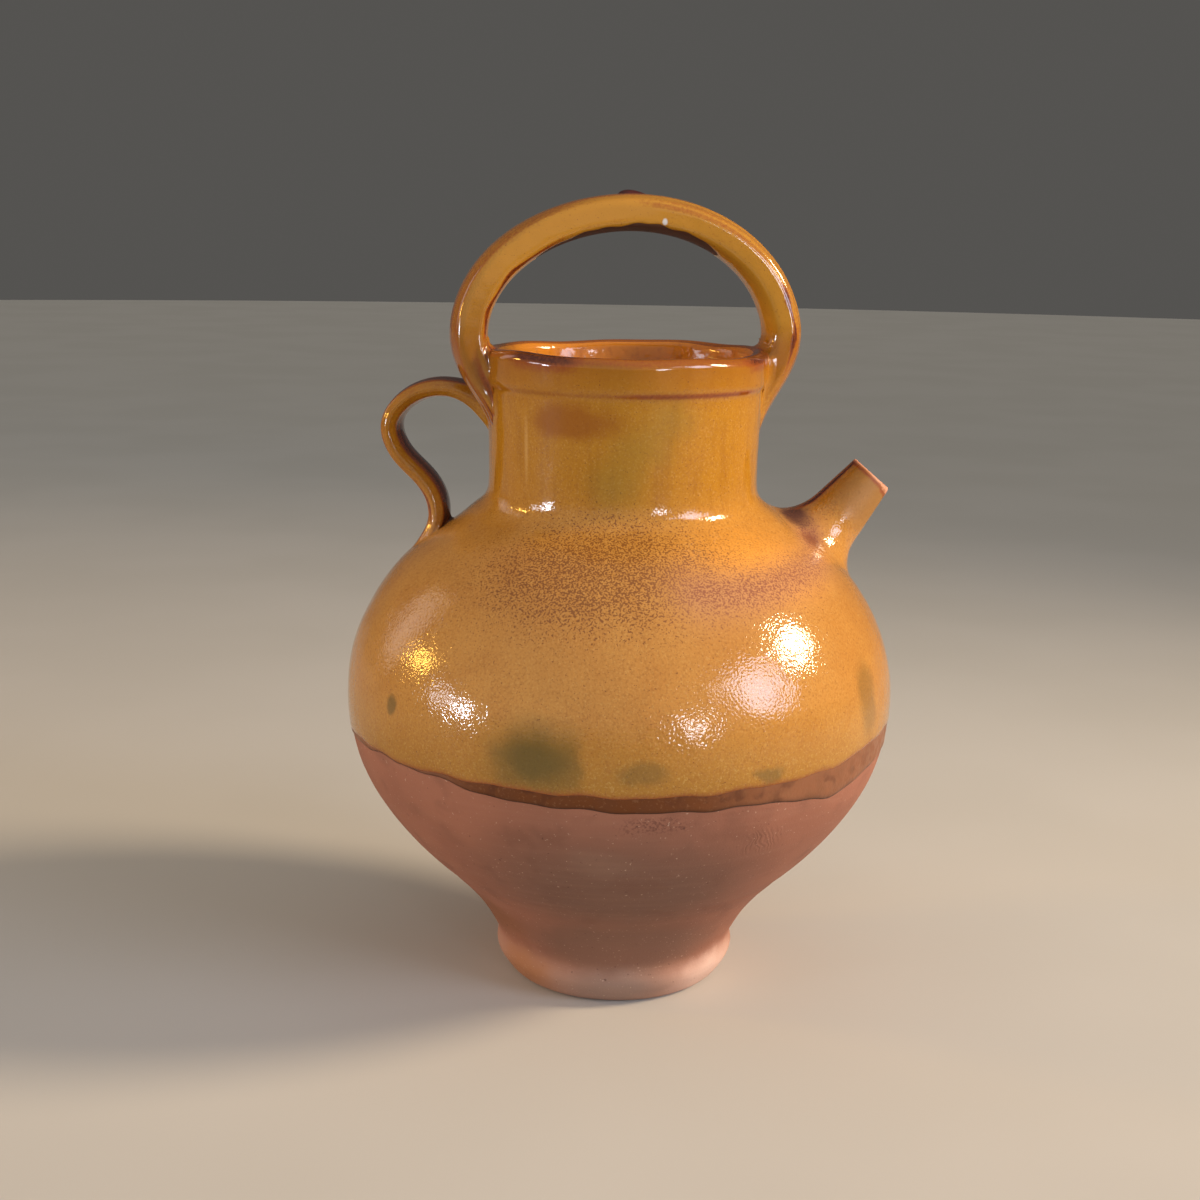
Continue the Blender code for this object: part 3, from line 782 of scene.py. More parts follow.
def long_lines(rows, along, *places):
    """Marks of the lines in a table, which sway along a handle, each within its own stretches."""
    marks = []
    for strength, turn, sway, slowness, half_width, *stretches in rows:
        mark = strength * around(SECTION_TURN, turn + sway * np.sin(along / slowness), half_width)
        for place, span in zip(places, stretches):
            mark = mark * stretch(place, *span)
        marks.append(mark)
    return marks


def strands(count, wander, slowness, along):
    """Mark of fine strands along a handle, from 0 between them to 1 on them."""
    return 0.5 + 0.5 * np.sin(count * SECTION + wander * np.sin(along / slowness))


across, up = across_crown[:, None], up_arch[:, None]
foot_line = np.zeros((ring_count, 1))
for end, fade in zip((foot_line, foot_line[::-1]), FOOT_LINE_FADES):
    end[FOOT_LINE_START:][:FOOT_LINE_RINGS, 0] = np.linspace(*fade, FOOT_LINE_RINGS)
fold_line = -np.cos(FOLDS * SECTION) * FOLD_LINE_GAIN - FOLD_LINE_START
lines = [foot_line * (FOOT_LINE_MEAN + ripples(FOOT_LINE_WAVES, SECTION)),
         folded * np.clip(fold_line, 0, FOLD_THIN),
         *long_lines(ARCH_LINES, up, across, up)]
strand_thin = ARCH_STRAND_THIN + ARCH_STRAND_CHANGE * np.sin(across / 9) * np.sin(3 * SECTION)
store(stirrup, "thin", strand_thin * strands(*ARCH_STRANDS, across) + np.maximum.reduce(lines))
print("brown lines on the stirrup:", len(lines))

# %% [markdown]
# ## Side handle
# The small handle is a thin strap, pulled the same way, that loops from the neck to the shoulder. It
# is thicker where it leaves the neck. The glaze drew thin over its broad faces, which turned
# red-brown, and stayed honey-coloured on the narrow edge that faces the viewer, with one brown streak.
# On the inner face, towards the neck, that dark red-brown is also painted shade. The rows of its
# table are like those of the stirrup, with one stretch along the strap.

# %% Side handle
SIDE_AZIMUTH = 164.0
SIDE_STATIONS = ((49.5, 230.6), (58.7, 238.8), (73.0, 243.0), (87.0, 238.6), (94.7, 227.6),
                 (90.6, 215.6), (82.1, 207.0), (76.2, 197.6), (75.6, 188.0), (79.5, 178.0))
SIDE_HALF_SIZES = (10.0, 3.9)
SIDE_NECK_SWELL = 2.6
SIDE_NECK_TAPER = 26.0
SIDE_RINGS = 90
SIDE_ROOT_STEPS = round(45 / STEP)
SIDE_SECTION = oval(0.82, 0.02, 8, 0.0)
SIDE_NECK_FILLET = (2.4, 1.4)
SIDE_SHOULDER_FILLET = np.array(((5.0,), (3.4,))) + 2.0 * around(SECTION_TURN, 270, 80)
SIDE_LINES = ((0.8, 268, 0, 1, 62, (-1000, -999, 0.88, 0.97)),
              # inner face, towards the neck: thin glaze and painted shade
              (0.8, 92, 0, 1, 58, (0.12, 0.3, 999, 1000)),
              (0.62, 318, 14, 1 / 17, 15, (0.5, 0.58, 0.8, 0.9)))
SIDE_STRANDS = (14, 2.0, 1 / 11)
SIDE_STRAND_THIN = 0.2

side_path = smooth_curve(SIDE_STATIONS, STEP)
side_length = lengths_along(side_path)
half_width = np.full(len(side_path), SIDE_HALF_SIZES[0])
half_thickness = SIDE_HALF_SIZES[1] + SIDE_NECK_SWELL * (1 - ease(side_length, 0, SIDE_NECK_TAPER))
grid, centres, directions = strap_columns(side_path, SIDE_AZIMUTH, half_width, half_thickness, SIDE_SECTION)
side_rings = seat_handle(grid, centres, directions, SIDE_ROOT_STEPS, SIDE_NECK_FILLET, SIDE_SHOULDER_FILLET,
                         SIDE_RINGS)
side_handle = pull_tube("glazed_side_handle", side_rings)

along_strap = np.linspace(0, 1, len(side_rings))[:, None]
lines = long_lines(SIDE_LINES, along_strap, along_strap)
strand_mark = SIDE_STRAND_THIN * strands(*SIDE_STRANDS, along_strap)
store(side_handle, "thin", np.maximum.reduce(lines) + strand_mark)
print("side handle:", len(side_handle.data.polygons), "faces")

# %% [markdown]
# ## Spout
# The spout was thrown apart as a small tapered tube, cut to the slope of the shoulder and luted on
# with a wide soft fillet. Its rim was wiped, so the lip is bare clay, and a chip is missing from it.
# The tube is extruded from its root to the lip and on down into the bore, whose inside is painted dark
# brown as shade.

# %% Spout
SPOUT_TIP = np.array((104.6, 0.0, 209.2))
SPOUT_RISE = math.radians(50.0)
SPOUT_TIP_RADIUS = 9.35
SPOUT_TAPER = 0.125
SPOUT_LIP = 0.7
SPOUT_CUT = 0.1
SPOUT_DEPTH = 46.0
SPOUT_FILLET = (13.7 + 3.3 * np.cos(SECTION), 10.5 + 2.5 * np.cos(SECTION))
SPOUT_RINGS = 30
BORE_RADIUS = 6.0
BORE_DEPTHS = (6.0, 16.0, 30.0, 42.0)
CHIP_TURN = 220.0
CHIP_HALF_WIDTH = 32.0
CHIP_DEPTH = 1.0
CHIP_MEAN = 0.75
CHIP_WAVES = ((0.25, 9, 0.0, 0.0),)
CHIP_RINGS = 7
BORE_RINGS = 6
WIPED = 0.7
WIPED_WAVES = ((0.3, 2, 0.5, 0.0),)
WIPED_CHIP = 1.6
WIPED_FADE = 0.3
LIP_LINE_THIN = 0.7
LIP_LINE_DEPTH = 1.0
LIP_LINE_WIDTH = 0.9
TOP_LINE_THIN = 0.9
TOP_LINE_PLACE = (353, 10)
TOP_LINE_END = (26, 36)
BORE_SHADE = 0.9
BORE_START = (2, 5)

axis = np.array((math.cos(SPOUT_RISE), 0.0, math.sin(SPOUT_RISE)))
upper = np.array((-axis[2], 0.0, axis[0]))
beside = np.array((0.0, 1.0, 0.0))
rim = np.cos(SECTION)[:, None] * upper + np.sin(SECTION)[:, None] * beside
depths = np.arange(SPOUT_DEPTH, SPOUT_LIP, -STEP)
centres = SPOUT_TIP - depths[:, None] * axis
grid = centres[:, None] + (SPOUT_TIP_RADIUS + SPOUT_TAPER * depths)[:, None, None] * rim
spout_base, spout_leave = seat(grid, centres, np.repeat(axis[None], len(grid), axis=0), *SPOUT_FILLET)
shaft = between_roots(grid, spout_leave, np.full(SIDES, len(grid) - 1.0), SPOUT_RINGS)
lip_line = np.concatenate((arc((SPOUT_TIP_RADIUS - SPOUT_LIP, -SPOUT_LIP), SPOUT_LIP, 10, 90, 5),
                           arc((BORE_RADIUS + SPOUT_LIP, -SPOUT_LIP), SPOUT_LIP, 90, 180, 5),
                           [(BORE_RADIUS, -depth) for depth in BORE_DEPTHS]))
mouth = np.array([SPOUT_TIP + level * axis + size * rim for size, level in lip_line])
mouth += SPOUT_CUT * mouth[..., 1:2] * axis
chip = around(SECTION_TURN, CHIP_TURN, CHIP_HALF_WIDTH) * (CHIP_MEAN + ripples(CHIP_WAVES, SECTION))
mouth[:CHIP_RINGS] -= CHIP_DEPTH * chip[None, :, None] * axis
spout_rings = np.concatenate((spout_base, shaft, mouth))
spout = pull_tube("glazed_spout", spout_rings)

depth = (SPOUT_TIP - spout_rings) @ axis
outside = np.arange(len(spout_rings))[:, None] < len(spout_rings) - BORE_RINGS
bare_depth = WIPED + ripples(WIPED_WAVES, SECTION) + WIPED_CHIP * chip
bare_depth -= SPOUT_CUT * SPOUT_TIP_RADIUS * np.sin(SECTION)
bare = (1 - ease(depth, bare_depth - WIPED_FADE, bare_depth + WIPED_FADE)) * outside
below_lip = LIP_LINE_THIN * np.exp(-((depth - bare_depth - LIP_LINE_DEPTH) / LIP_LINE_WIDTH) ** 2)
top_line = TOP_LINE_THIN * around(SECTION_TURN, *TOP_LINE_PLACE) * (1 - ease(depth, *TOP_LINE_END))
# Painted shade: the inside of the bore is painted dark brown.
bore = BORE_SHADE * (~outside) * ease(depth, *BORE_START)
store(spout, "thin", np.maximum.reduce((below_lip, top_line, bore)))
store(spout, "bare", bare)
store(spout, "rosy", near_line(read_points(spout), ROSY_STREAK, *ROSY_REACH))
print("spout:", len(spout.data.polygons), "faces")

# %% [markdown]
# ## Drop of glaze
# While the jug was fired a thick drop ran together on the crest of the stirrup handle and set dark
# red. A sphere is squashed, drawn out to one side and sunk into the handle.

# %% Drop of glaze
DRIP_PLACE = np.array((2.6, 3.0, 319.0))
DRIP_HALF_SIZES = np.array((6.5, 4.5, 2.55))
DRIP_TAPER = 0.35
DRIP_POINTED = 1.2

bpy.ops.object.select_all(action="DESELECT")
bpy.ops.mesh.primitive_uv_sphere_add(segments=32, ring_count=16, radius=MM)
drip = bpy.context.object
drip.name = "glaze_drop"
drip.data.name = "glaze_drop"
points = read_points(drip)
points[:, 1:] *= 1 - DRIP_TAPER * points[:, :1]
points[:, 2] = np.where(points[:, 2] > 0, np.abs(points[:, 2]) ** DRIP_POINTED, points[:, 2])
points[:, 2] /= points[:, 2].max()
write_points(drip, points * DRIP_HALF_SIZES + DRIP_PLACE)
bpy.ops.object.shade_smooth()
print("glaze drop:", len(drip.data.polygons), "faces")

# %% [markdown]
# ## Tools for the finishes
# Every finish is a small tree of nodes on the piece's own Object coordinates, which are metres, so
# a pattern's scale is simply one over the size of its grain. One helper adds a node, sets it and
# links it. Stains sit at real places on the jug: each is a soft ellipsoid round a point of the
# surface, and the coordinates it reads are first roughened by noise, so that its edge is ragged.

# %% Tools for the finishes
RAGGED_GRAIN = 9.0
RAGGED_DEPTH = 7.0


def linear(hex_colour):
    """Turn an sRGB hex colour into linear RGBA."""
    channels = [int(hex_colour[i:i + 2], 16) / 255 for i in (1, 3, 5)]
    return [c / 12.92 if c <= 0.04045 else ((c + 0.055) / 1.055) ** 2.4 for c in channels] + [1.0]


def add_node(tree, kind, inputs, output=0, **settings):
    """Add a node, set it, give its inputs values or links, and return one of its outputs."""
    node = tree.nodes.new("ShaderNode" + kind)
    for name, value in settings.items():
        setattr(node, name, value)
    for key, value in inputs.items():
        if isinstance(value, bpy.types.NodeSocket):
            tree.links.new(value, node.inputs[key])
        else:
            node.inputs[key].default_value = value
    return node.outputs[output]


def start_finish(name, constants):
    """New material with its tree, its shader and its coordinates, plain and roughened."""
    material = bpy.data.materials.new(name)
    material.use_nodes = True
    tree = material.node_tree
    shader = tree.nodes["Principled BSDF"]
    for key, value in constants.items():
        shader.inputs[key].default_value = value
    place = add_node(tree, "TexCoord", {}, output="Object")
    cloud = add_node(tree, "TexNoise", {"Vector": place, "Scale": 1 / (RAGGED_GRAIN * MM), "Detail": 3.0},
                     output="Color")
    centred = add_node(tree, "VectorMath", {0: cloud, 1: (0.5, 0.5, 0.5)}, operation="SUBTRACT")
    shift = add_node(tree, "VectorMath", {0: centred, "Scale": RAGGED_DEPTH * MM}, operation="SCALE")
    ragged = add_node(tree, "VectorMath", {0: place, 1: shift}, operation="ADD")
    return material, tree, shader, place, ragged


def stain(tree, place, spot, half_sizes, strength=1.0, soft=0.6):
    """Mask of one stain: an ellipsoid of half sizes in mm round a point in mm, fading at its edge."""
    from_spot = add_node(tree, "VectorMath", {0: place, 1: Vector(spot) * MM}, operation="SUBTRACT")
    scaled = add_node(tree, "VectorMath", {0: from_spot, 1: tuple(1 / (size * MM) for size in half_sizes)},
                      operation="MULTIPLY")
    far = add_node(tree, "VectorMath", {0: scaled}, operation="LENGTH", output="Value")
    return add_node(tree, "MapRange", {"Value": far, "From Min": 1.0, "From Max": 1.0 - soft,
                                       "To Max": strength}, interpolation_type="SMOOTHSTEP")


def grain(tree, place, size, low, high, strength=1.0, detail=2.0):
    """Mask of a noise whose grain is a size in mm, 0 below low and full above high."""
    cloud = add_node(tree, "TexNoise", {"Vector": place, "Scale": 1 / (size * MM), "Detail": detail})
    return add_node(tree, "MapRange", {"Value": cloud, "From Min": low, "From Max": high,
                                       "To Max": strength}, interpolation_type="SMOOTHSTEP")


def relief(tree, place, size, depth, detail, **inputs):
    """Normals of a surface raised by a noise, whose grain and depth are in mm."""
    cloud = add_node(tree, "TexNoise", {"Vector": place, "Scale": 1 / (size * MM), "Detail": detail})
    return add_node(tree, "Bump", {"Height": cloud, "Distance": depth * MM, **inputs})


def paint(tree, colour, layers):
    """Lay (mask, hex colour) layers over a colour, each over the one before."""
    for mask, hex_colour in layers:
        colour = add_node(tree, "Mix", {0: mask, 6: colour, 7: linear(hex_colour)}, data_type="RGBA",
                          output=2)
    return colour


print("tools for the finishes ready")

# %% [markdown]
# ## Honey glaze over slip
# A clear amber lead-type glaze over pale slip, poured and fired: lighter where it is thick on the
# belly, stronger and browner on the neck, where it ran down in streaks, brown at the rim and paler
# again on the arch. Close to, it is mottled with brown and pale grains of a millimetre or so.

# %% Honey glaze: ground
HEIGHT_BANDS = {"low": (138.0, 114.0, 0.75), "neck": (186.0, 212.0, 1.0),
                "top": (240.0, 256.0, 0.8), "arch": (262.0, 272.0, 0.85)}
STREAK_DRAW = 0.12
LEG_BROWN = ((-60.0, -8.0, 262.0), (22.0, 24.0, 40.0))
# The side handle is painted browner: partly its glaze, partly painted shade beside the neck.
STRAP_BROWN_AND_SHADE = ((-88.0, 22.0, 220.0), (40.0, 34.0, 42.0))
# Painted light: the shoulder under the key lamp is painted a brighter orange.
PAINTED_LIGHT_ON_SHOULDER = ((42.0, -63.0, 189.0), (52.0, 46.0, 26.0))

honey, tree, shader, place, ragged = start_finish("honey_glaze_over_slip", {"IOR": 1.52})
height = add_node(tree, "SeparateXYZ", {0: place}, output="Z")
bands = {}
for name, (start, full, strength) in HEIGHT_BANDS.items():
    bands[name] = add_node(tree, "MapRange", {"Value": height, "From Min": start * MM,
                                              "From Max": full * MM, "To Max": strength})
pimples = add_node(tree, "Math", {0: bands["low"], 1: grain(tree, place, 1.1, 0.6, 0.7, 0.6)},
                   operation="MULTIPLY")
drawn_down = add_node(tree, "Mapping", {"Vector": place, "Scale": (1.0, 1.0, STREAK_DRAW)})
drops = grain(tree, drawn_down, 4.0, 0.44, 0.72, 0.35)
streaks = add_node(tree, "Math", {0: bands["neck"], 1: drops}, operation="MULTIPLY")
colour = paint(tree, linear("#B47B35"), (
    (grain(tree, place, 55.0, 0.35, 0.65, 0.6), "#BE8840"),
    (grain(tree, place, 16.0, 0.4, 0.7, 0.35), "#A66C2A"),
    # painted light on the shoulder
    (stain(tree, ragged, *PAINTED_LIGHT_ON_SHOULDER, 0.9, 0.9), "#E29838"),
    (bands["low"], "#96681C"),
    (bands["neck"], "#AA731A"),
    (streaks, "#8C5714"),
    (grain(tree, place, 1.0, 0.45, 0.75, 0.45), "#8E561C"),
    (grain(tree, place, 0.8, 0.5, 0.76, 0.25), "#D2A860"),
    (pimples, "#BE9A54"),
    (bands["top"], "#94590C"),
    (bands["arch"], "#B47E28"),
    # browner glaze and painted shade on the side handle
    (stain(tree, place, *STRAP_BROWN_AND_SHADE, 0.45, 0.5), "#8E5610"),
    (stain(tree, ragged, *LEG_BROWN, 0.6, 0.8), "#86561A"),
))
print("ground of the honey glaze:", len(tree.nodes), "nodes")

# %% [markdown]
# ## Iron in the glaze
# On the shoulder, iron has boiled up through the glaze as a field of worm-like brown flecks, dense in
# the middle and sparse further out. Raising the noise inside the field lifts more of it over the
# threshold, which is what makes the flecks join up. Along the streak the flecks turn purple.

# %% Honey glaze: iron flecks
FLECK_SIZE = 0.73
FLECK_FIELD = ((-19.0, -70.0, 182.0), (80.0, 58.0, 33.0))
FLECK_LIFT = 0.21
FLECK_EDGE = (0.67, 0.74)
FLECK_STRENGTH = 0.8
ROSY_TINT = 0.75

rosy = add_node(tree, "Attribute", {}, attribute_name="rosy", output="Fac")
field = stain(tree, ragged, *FLECK_FIELD, 1.0, 0.75)
iron = add_node(tree, "Math", {0: field, 1: rosy}, operation="MAXIMUM")
flecks = add_node(tree, "TexNoise", {"Vector": place, "Scale": 1 / (FLECK_SIZE * MM), "Detail": 1.5})
lifted = add_node(tree, "Math", {0: iron, 1: FLECK_LIFT, 2: flecks}, operation="MULTIPLY_ADD")
fleck_mask = add_node(tree, "MapRange", {"Value": lifted, "From Min": FLECK_EDGE[0],
                                         "From Max": FLECK_EDGE[1], "To Max": FLECK_STRENGTH})
tint = add_node(tree, "Math", {0: rosy, 1: ROSY_TINT}, operation="MULTIPLY")
purple = add_node(tree, "Math", {0: rosy, 1: fleck_mask}, operation="MULTIPLY")
colour = paint(tree, colour, ((fleck_mask, "#6E3C1A"), (tint, "#B88258"), (purple, "#8C543C")))
print("with iron:", len(tree.nodes), "nodes")

# %% [markdown]
# ## Stains in the glaze
# Fumes in the kiln left olive patches near the glaze edge and on the neck, a brown oval on the neck
# and a pale run beside it. A grain of lime popped off the stirrup and left a white pit. The marks
# that were stored on the points are laid over the stains.

# %% Honey glaze: stains
OLIVE_CLOUD = ((-48.0, -100.0, 122.0), (35.0, 18.0, 20.0))
OLIVE_CUT = (-29.5, -33.5)
OLIVE_PATCHES = (((-10.0, -110.0, 119.0), (13.0, 8.0, 6.0), 0.45),
                 ((37.7, -104.0, 115.5), (9.0, 8.0, 4.0), 0.55),
                 ((-95.6, -54.4, 131.4), (5.2, 5.2, 4.2), 0.7),
                 ((84.0, -71.0, 134.0), (10.0, 10.0, 21.0), 0.42))
NECK_OLIVE = (((8.0, -54.0, 238.0), (18.0, 10.0, 13.0)), ((-2.0, -54.0, 226.0), (18.0, 10.0, 13.0)),
              ((-12.0, -52.0, 213.0), (18.0, 10.0, 14.0)))
NECK_OVAL = ((-28.0, -46.0, 236.0), (31.0, 17.0, 9.5))
NECK_RUN = ((-42.8, -32.6, 226.0), (1.6, 1.6, 21.0))
SPOUT_OLIVE = ((101.0, -8.0, 199.0), (18.0, 12.0, 18.0))
# Pooled glaze in the saddle under the spout, painted darker as its shade too.
SADDLE_POOL_AND_SHADE = ((69.5, -5.0, 190.5), (13.0, 13.0, 7.5))
SADDLE_TAIL = ((74.5, -18.0, 185.0), (8.0, 12.0, 8.0))
LIME_POP = ((12.7, -11.9, 309.3), (1.3, 1.5, 1.8))
CRUMB_SIZE = 1.1
CRUMB_SHARE = 0.5

thin, under, bare = [add_node(tree, "Attribute", {}, attribute_name=mark, output="Fac")
                     for mark in ("thin", "under", "bare")]
crumbs = add_node(tree, "TexNoise", {"Vector": place, "Scale": 1 / (CRUMB_SIZE * MM), "Detail": 2.0})
broken = add_node(tree, "Math", {0: crumbs, 1: CRUMB_SHARE, 2: thin}, operation="MULTIPLY_ADD")
red_brown = add_node(tree, "MapRange", {"Value": broken, "From Min": 0.38, "From Max": 0.8})
dark_brown = add_node(tree, "MapRange", {"Value": broken, "From Min": 0.85, "From Max": 1.25})
# Bare clay under the stirrup's crown, painted darker as its shade too.
bare_underside_and_shade = add_node(tree, "MapRange", {"Value": under, "From Min": 0.05, "From Max": 0.5, "To Max": 0.95})
across = add_node(tree, "SeparateXYZ", {0: ragged}, output="X")
cut = add_node(tree, "MapRange", {"Value": across, "From Min": OLIVE_CUT[0] * MM,
                                  "From Max": OLIVE_CUT[1] * MM})
cloud = add_node(tree, "Math", {0: cut, 1: stain(tree, ragged, *OLIVE_CLOUD, 0.88, 0.85)},
                 operation="MULTIPLY")
matt = stain(tree, ragged, *SPOUT_OLIVE, 0.8, 0.6)
layers = [(cloud, "#57491F")]
layers += [(stain(tree, ragged, *patch), "#5F4D25") for patch in OLIVE_PATCHES]
layers += [(stain(tree, ragged, *patch, 0.34, 0.9), "#87702C") for patch in NECK_OLIVE]
layers += [(stain(tree, ragged, *NECK_OVAL, 0.75, 0.6), "#8A4C0C"),
           (matt, "#8C6026"),
           (stain(tree, ragged, *SADDLE_TAIL, 0.85, 0.9), "#74422F"),
           # pooled glaze and painted shade in the saddle
           (stain(tree, ragged, *SADDLE_POOL_AND_SHADE, 0.92, 0.6), "#472620"),
           (stain(tree, place, *NECK_RUN, 0.35, 0.9), "#D8B070"),
           (red_brown, "#8A4616"),
           (dark_brown, "#451A10"),
           # bare underside: its own dark clay and painted shade
           (bare_underside_and_shade, "#3A1A10"),
           (stain(tree, place, *LIME_POP, 1.0, 0.5), "#CCC6BE"),
           (bare, "#C98767")]
tree.links.new(paint(tree, colour, layers), shader.inputs["Base Color"])
print("with stains:", len(tree.nodes), "nodes")

# %% [markdown]
# ## Surface of the glaze
# The glaze is glassy, with the orange peel of a poured coat: cells of just under a millimetre that
# break the rim of every highlight into glints, on slower swells that bend it. The peel is faint from
# the neck up. The bare clay on the spout's lip, the dry underside of the stirrup and a patch near the
# spout's tip are rough.

# %% Honey glaze: surface
PEEL_SIZE = 0.9
PEEL_DEPTH = 0.115
PEEL_ON_NECK = 0.15
PEEL_FADE = (194.0, 212.0)
SWELL_SIZE = 6.0
SWELL_DEPTH = 0.14
GLOSSY = 0.07
DRY = 0.7

dry = add_node(tree, "Math", {0: bare, 1: bare_underside_and_shade}, operation="MAXIMUM")
dry = add_node(tree, "Math", {0: dry, 1: matt}, operation="MAXIMUM")
gloss = grain(tree, place, 18.0, 0.3, 0.7, 0.04)
rough = add_node(tree, "Math", {0: dry, 1: DRY, 2: gloss}, operation="MULTIPLY_ADD")
rough = add_node(tree, "Math", {0: rough, 1: GLOSSY}, operation="ADD")
tree.links.new(rough, shader.inputs["Roughness"])
swells = relief(tree, place, SWELL_SIZE, SWELL_DEPTH, 0.0)
peel_strength = add_node(tree, "MapRange", {"Value": height, "From Min": PEEL_FADE[0] * MM,
                                            "From Max": PEEL_FADE[1] * MM, "To Min": 1.0,
                                            "To Max": PEEL_ON_NECK})
peel = relief(tree, place, PEEL_SIZE, PEEL_DEPTH, 0.5, Strength=peel_strength, Normal=swells)
tree.links.new(peel, shader.inputs["Normal"])
print("honey glaze:", len(tree.nodes), "nodes")

# %% [markdown]
# ## Bare red terracotta
# Low-fired red earthenware, turned and left without glaze: matt and pinkish, smoked brown on the side that
# faced the fire, paler on the heel, with faint rings from the turning tool, a few scrapes, white grains
# of lime, dark grains of iron, and a smear of red slip just below the glaze line. Round the waist and
# above the foot, on the front and the left, the clay is also painted darker as shade.

# %% Bare terracotta: colour
SMOKE = ((-14.0, -86.0, 64.0), (76.0, 60.0, 56.0), 0.9)
# Smoke and painted shade: the clay above the foot is painted darker on the front and left.
FOOT_SMOKE_AND_SHADE = ((-5.0, -50.0, 28.0), (54.0, 38.0, 21.0), 0.75)
SMOKE_END = 23.0
HEEL_TOP = 9.0
WAIST_SHADE = ((-52.0, -20.0, 33.0), (28.0, 30.0, 18.0))
HEEL_SMOKE = ((-8.0, -48.0, 7.0), (34.0, 26.0, 13.0))
HEEL_ORANGE = ((-42.0, -26.0, 9.0), (24.0, 24.0, 14.0))
HEEL_PALE = ((36.0, -36.0, 7.0), (32.0, 30.0, 14.0))
RED_SMEAR = ((-4.5, -106.0, 98.0), (17.0, 8.0, 5.5))
PALE_SMUDGE = ((-22.4, -95.3, 79.9), (20.0, 10.0, 12.0))
RING_DRAW = 0.06

clay, tree, shader, place, ragged = start_finish("bare_red_terracotta", {"IOR": 1.45, "Roughness": 0.75})
height = add_node(tree, "SeparateXYZ", {0: ragged}, output="Z")
rings = add_node(tree, "Mapping", {"Vector": place, "Scale": (RING_DRAW, RING_DRAW, 1.0)})
heel = add_node(tree, "MapRange", {"Value": height, "From Min": SMOKE_END * MM, "From Max": HEEL_TOP * MM,
                                   "To Max": 0.85}, interpolation_type="SMOOTHSTEP")
specks = grain(tree, place, 1.0, 0.46, 0.62, 0.7)
smear = add_node(tree, "Math", {0: stain(tree, ragged, *RED_SMEAR), 1: specks}, operation="MULTIPLY")
layers = [(grain(tree, place, 40.0, 0.35, 0.65, 0.5), "#7F4F3A"),
          (stain(tree, ragged, *SMOKE, 0.75), "#6C4C3C"),
          (grain(tree, ragged, 14.0, 0.5, 0.72, 0.3), "#663E2C"),
          (stain(tree, ragged, *PALE_SMUDGE, 0.3, 0.9), "#8C6C58"),
          (grain(tree, rings, 2.2, 0.45, 0.75, 0.1), "#9A6F58"),
          (stain(tree, ragged, *WAIST_SHADE, 0.85, 0.8), "#7F4E2F"),
          (heel, "#A87D67"),
          (stain(tree, ragged, *HEEL_ORANGE, 0.75, 0.8), "#9C6234"),
          (stain(tree, ragged, *HEEL_PALE, 0.75, 0.8), "#D0AE9C"),
          # smoke and painted shade above the foot
          (stain(tree, ragged, *FOOT_SMOKE_AND_SHADE, 0.6), "#70503F"),
          (stain(tree, ragged, *HEEL_SMOKE, 0.7, 0.8), "#7E6A5E"),
          (smear, "#5E3426"),
          (grain(tree, place, 1.1, 0.68, 0.74, 0.5), "#C4A68E"),
          (grain(tree, place, 1.7, 0.71, 0.76, 0.6), "#4A241A")]
tree.links.new(paint(tree, linear("#965F47"), layers), shader.inputs["Base Color"])
print("terracotta colour:", len(tree.nodes), "nodes")

# %% Bare terracotta: surface
SAND_SIZE = 0.8
SAND_DEPTH = 0.08
TOOL_SIZE = 1.7
TOOL_DEPTH = 0.09
SCRAPE = ((38.3, -94.4, 86.6), (13.0, 10.0, 9.0))
SCRAPE_SPACING = 1.3
SCRAPE_DEPTH = 0.07

sand = relief(tree, place, SAND_SIZE, SAND_DEPTH, 2.0)
tooled = relief(tree, rings, TOOL_SIZE, TOOL_DEPTH, 1.0, Normal=sand)
scratches = add_node(tree, "TexWave", {"Vector": ragged, "Distortion": 3.0, "Detail": 2.0,
                                       "Scale": math.tau / 20 / (SCRAPE_SPACING * MM)},
                     bands_direction="DIAGONAL", output="Fac")
scraped = add_node(tree, "Math", {0: stain(tree, ragged, *SCRAPE, 1.0, 0.7), 1: scratches},
                   operation="MULTIPLY")
scrape_bump = add_node(tree, "Bump", {"Height": scraped, "Distance": SCRAPE_DEPTH * MM, "Normal": tooled})
tree.links.new(scrape_bump, shader.inputs["Normal"])
print("terracotta:", len(tree.nodes), "nodes")

# %% [markdown]
# ## Clear glaze on red clay
# The same clear glaze, but with no pale slip under it: the red clay shows through as a half-glossy
# brown, darker on the side that faced the fire and darkest in the bead along its lower edge.

# %% Clear glaze on red clay
RUN_PEEL_SIZE = 1.3
RUN_PEEL_DEPTH = 0.1
RUN_ROUGH = (0.3, 0.48)
RUN_DARK = ((-30.0, -100.0, 106.0), (80.0, 60.0, 30.0))

brown_run, tree, shader, place, ragged = start_finish("clear_glaze_on_red_clay",
                                                      {"IOR": 1.5, "Specular IOR Level": 0.15})
thin = add_node(tree, "Attribute", {}, attribute_name="thin", output="Fac")
layers = [(stain(tree, ragged, *SMOKE, 0.65), "#4C2D1D"),
          (stain(tree, ragged, *RUN_DARK, 0.8, 0.6), "#5C2E0A"),
          (grain(tree, place, 9.0, 0.4, 0.7, 0.35), "#5C3824"),
          (grain(tree, place, 1.2, 0.56, 0.72, 0.5), "#7C5639"),
          (grain(tree, ragged, 8.0, 0.55, 0.7, 0.4), "#432419"),
          (thin, "#2E1814")]
tree.links.new(paint(tree, linear("#845539"), layers), shader.inputs["Base Color"])
rough = add_node(tree, "MapRange", {"Value": grain(tree, place, 3.0, 0.3, 0.7), "To Min": RUN_ROUGH[0],
                                    "To Max": RUN_ROUGH[1]})
tree.links.new(rough, shader.inputs["Roughness"])
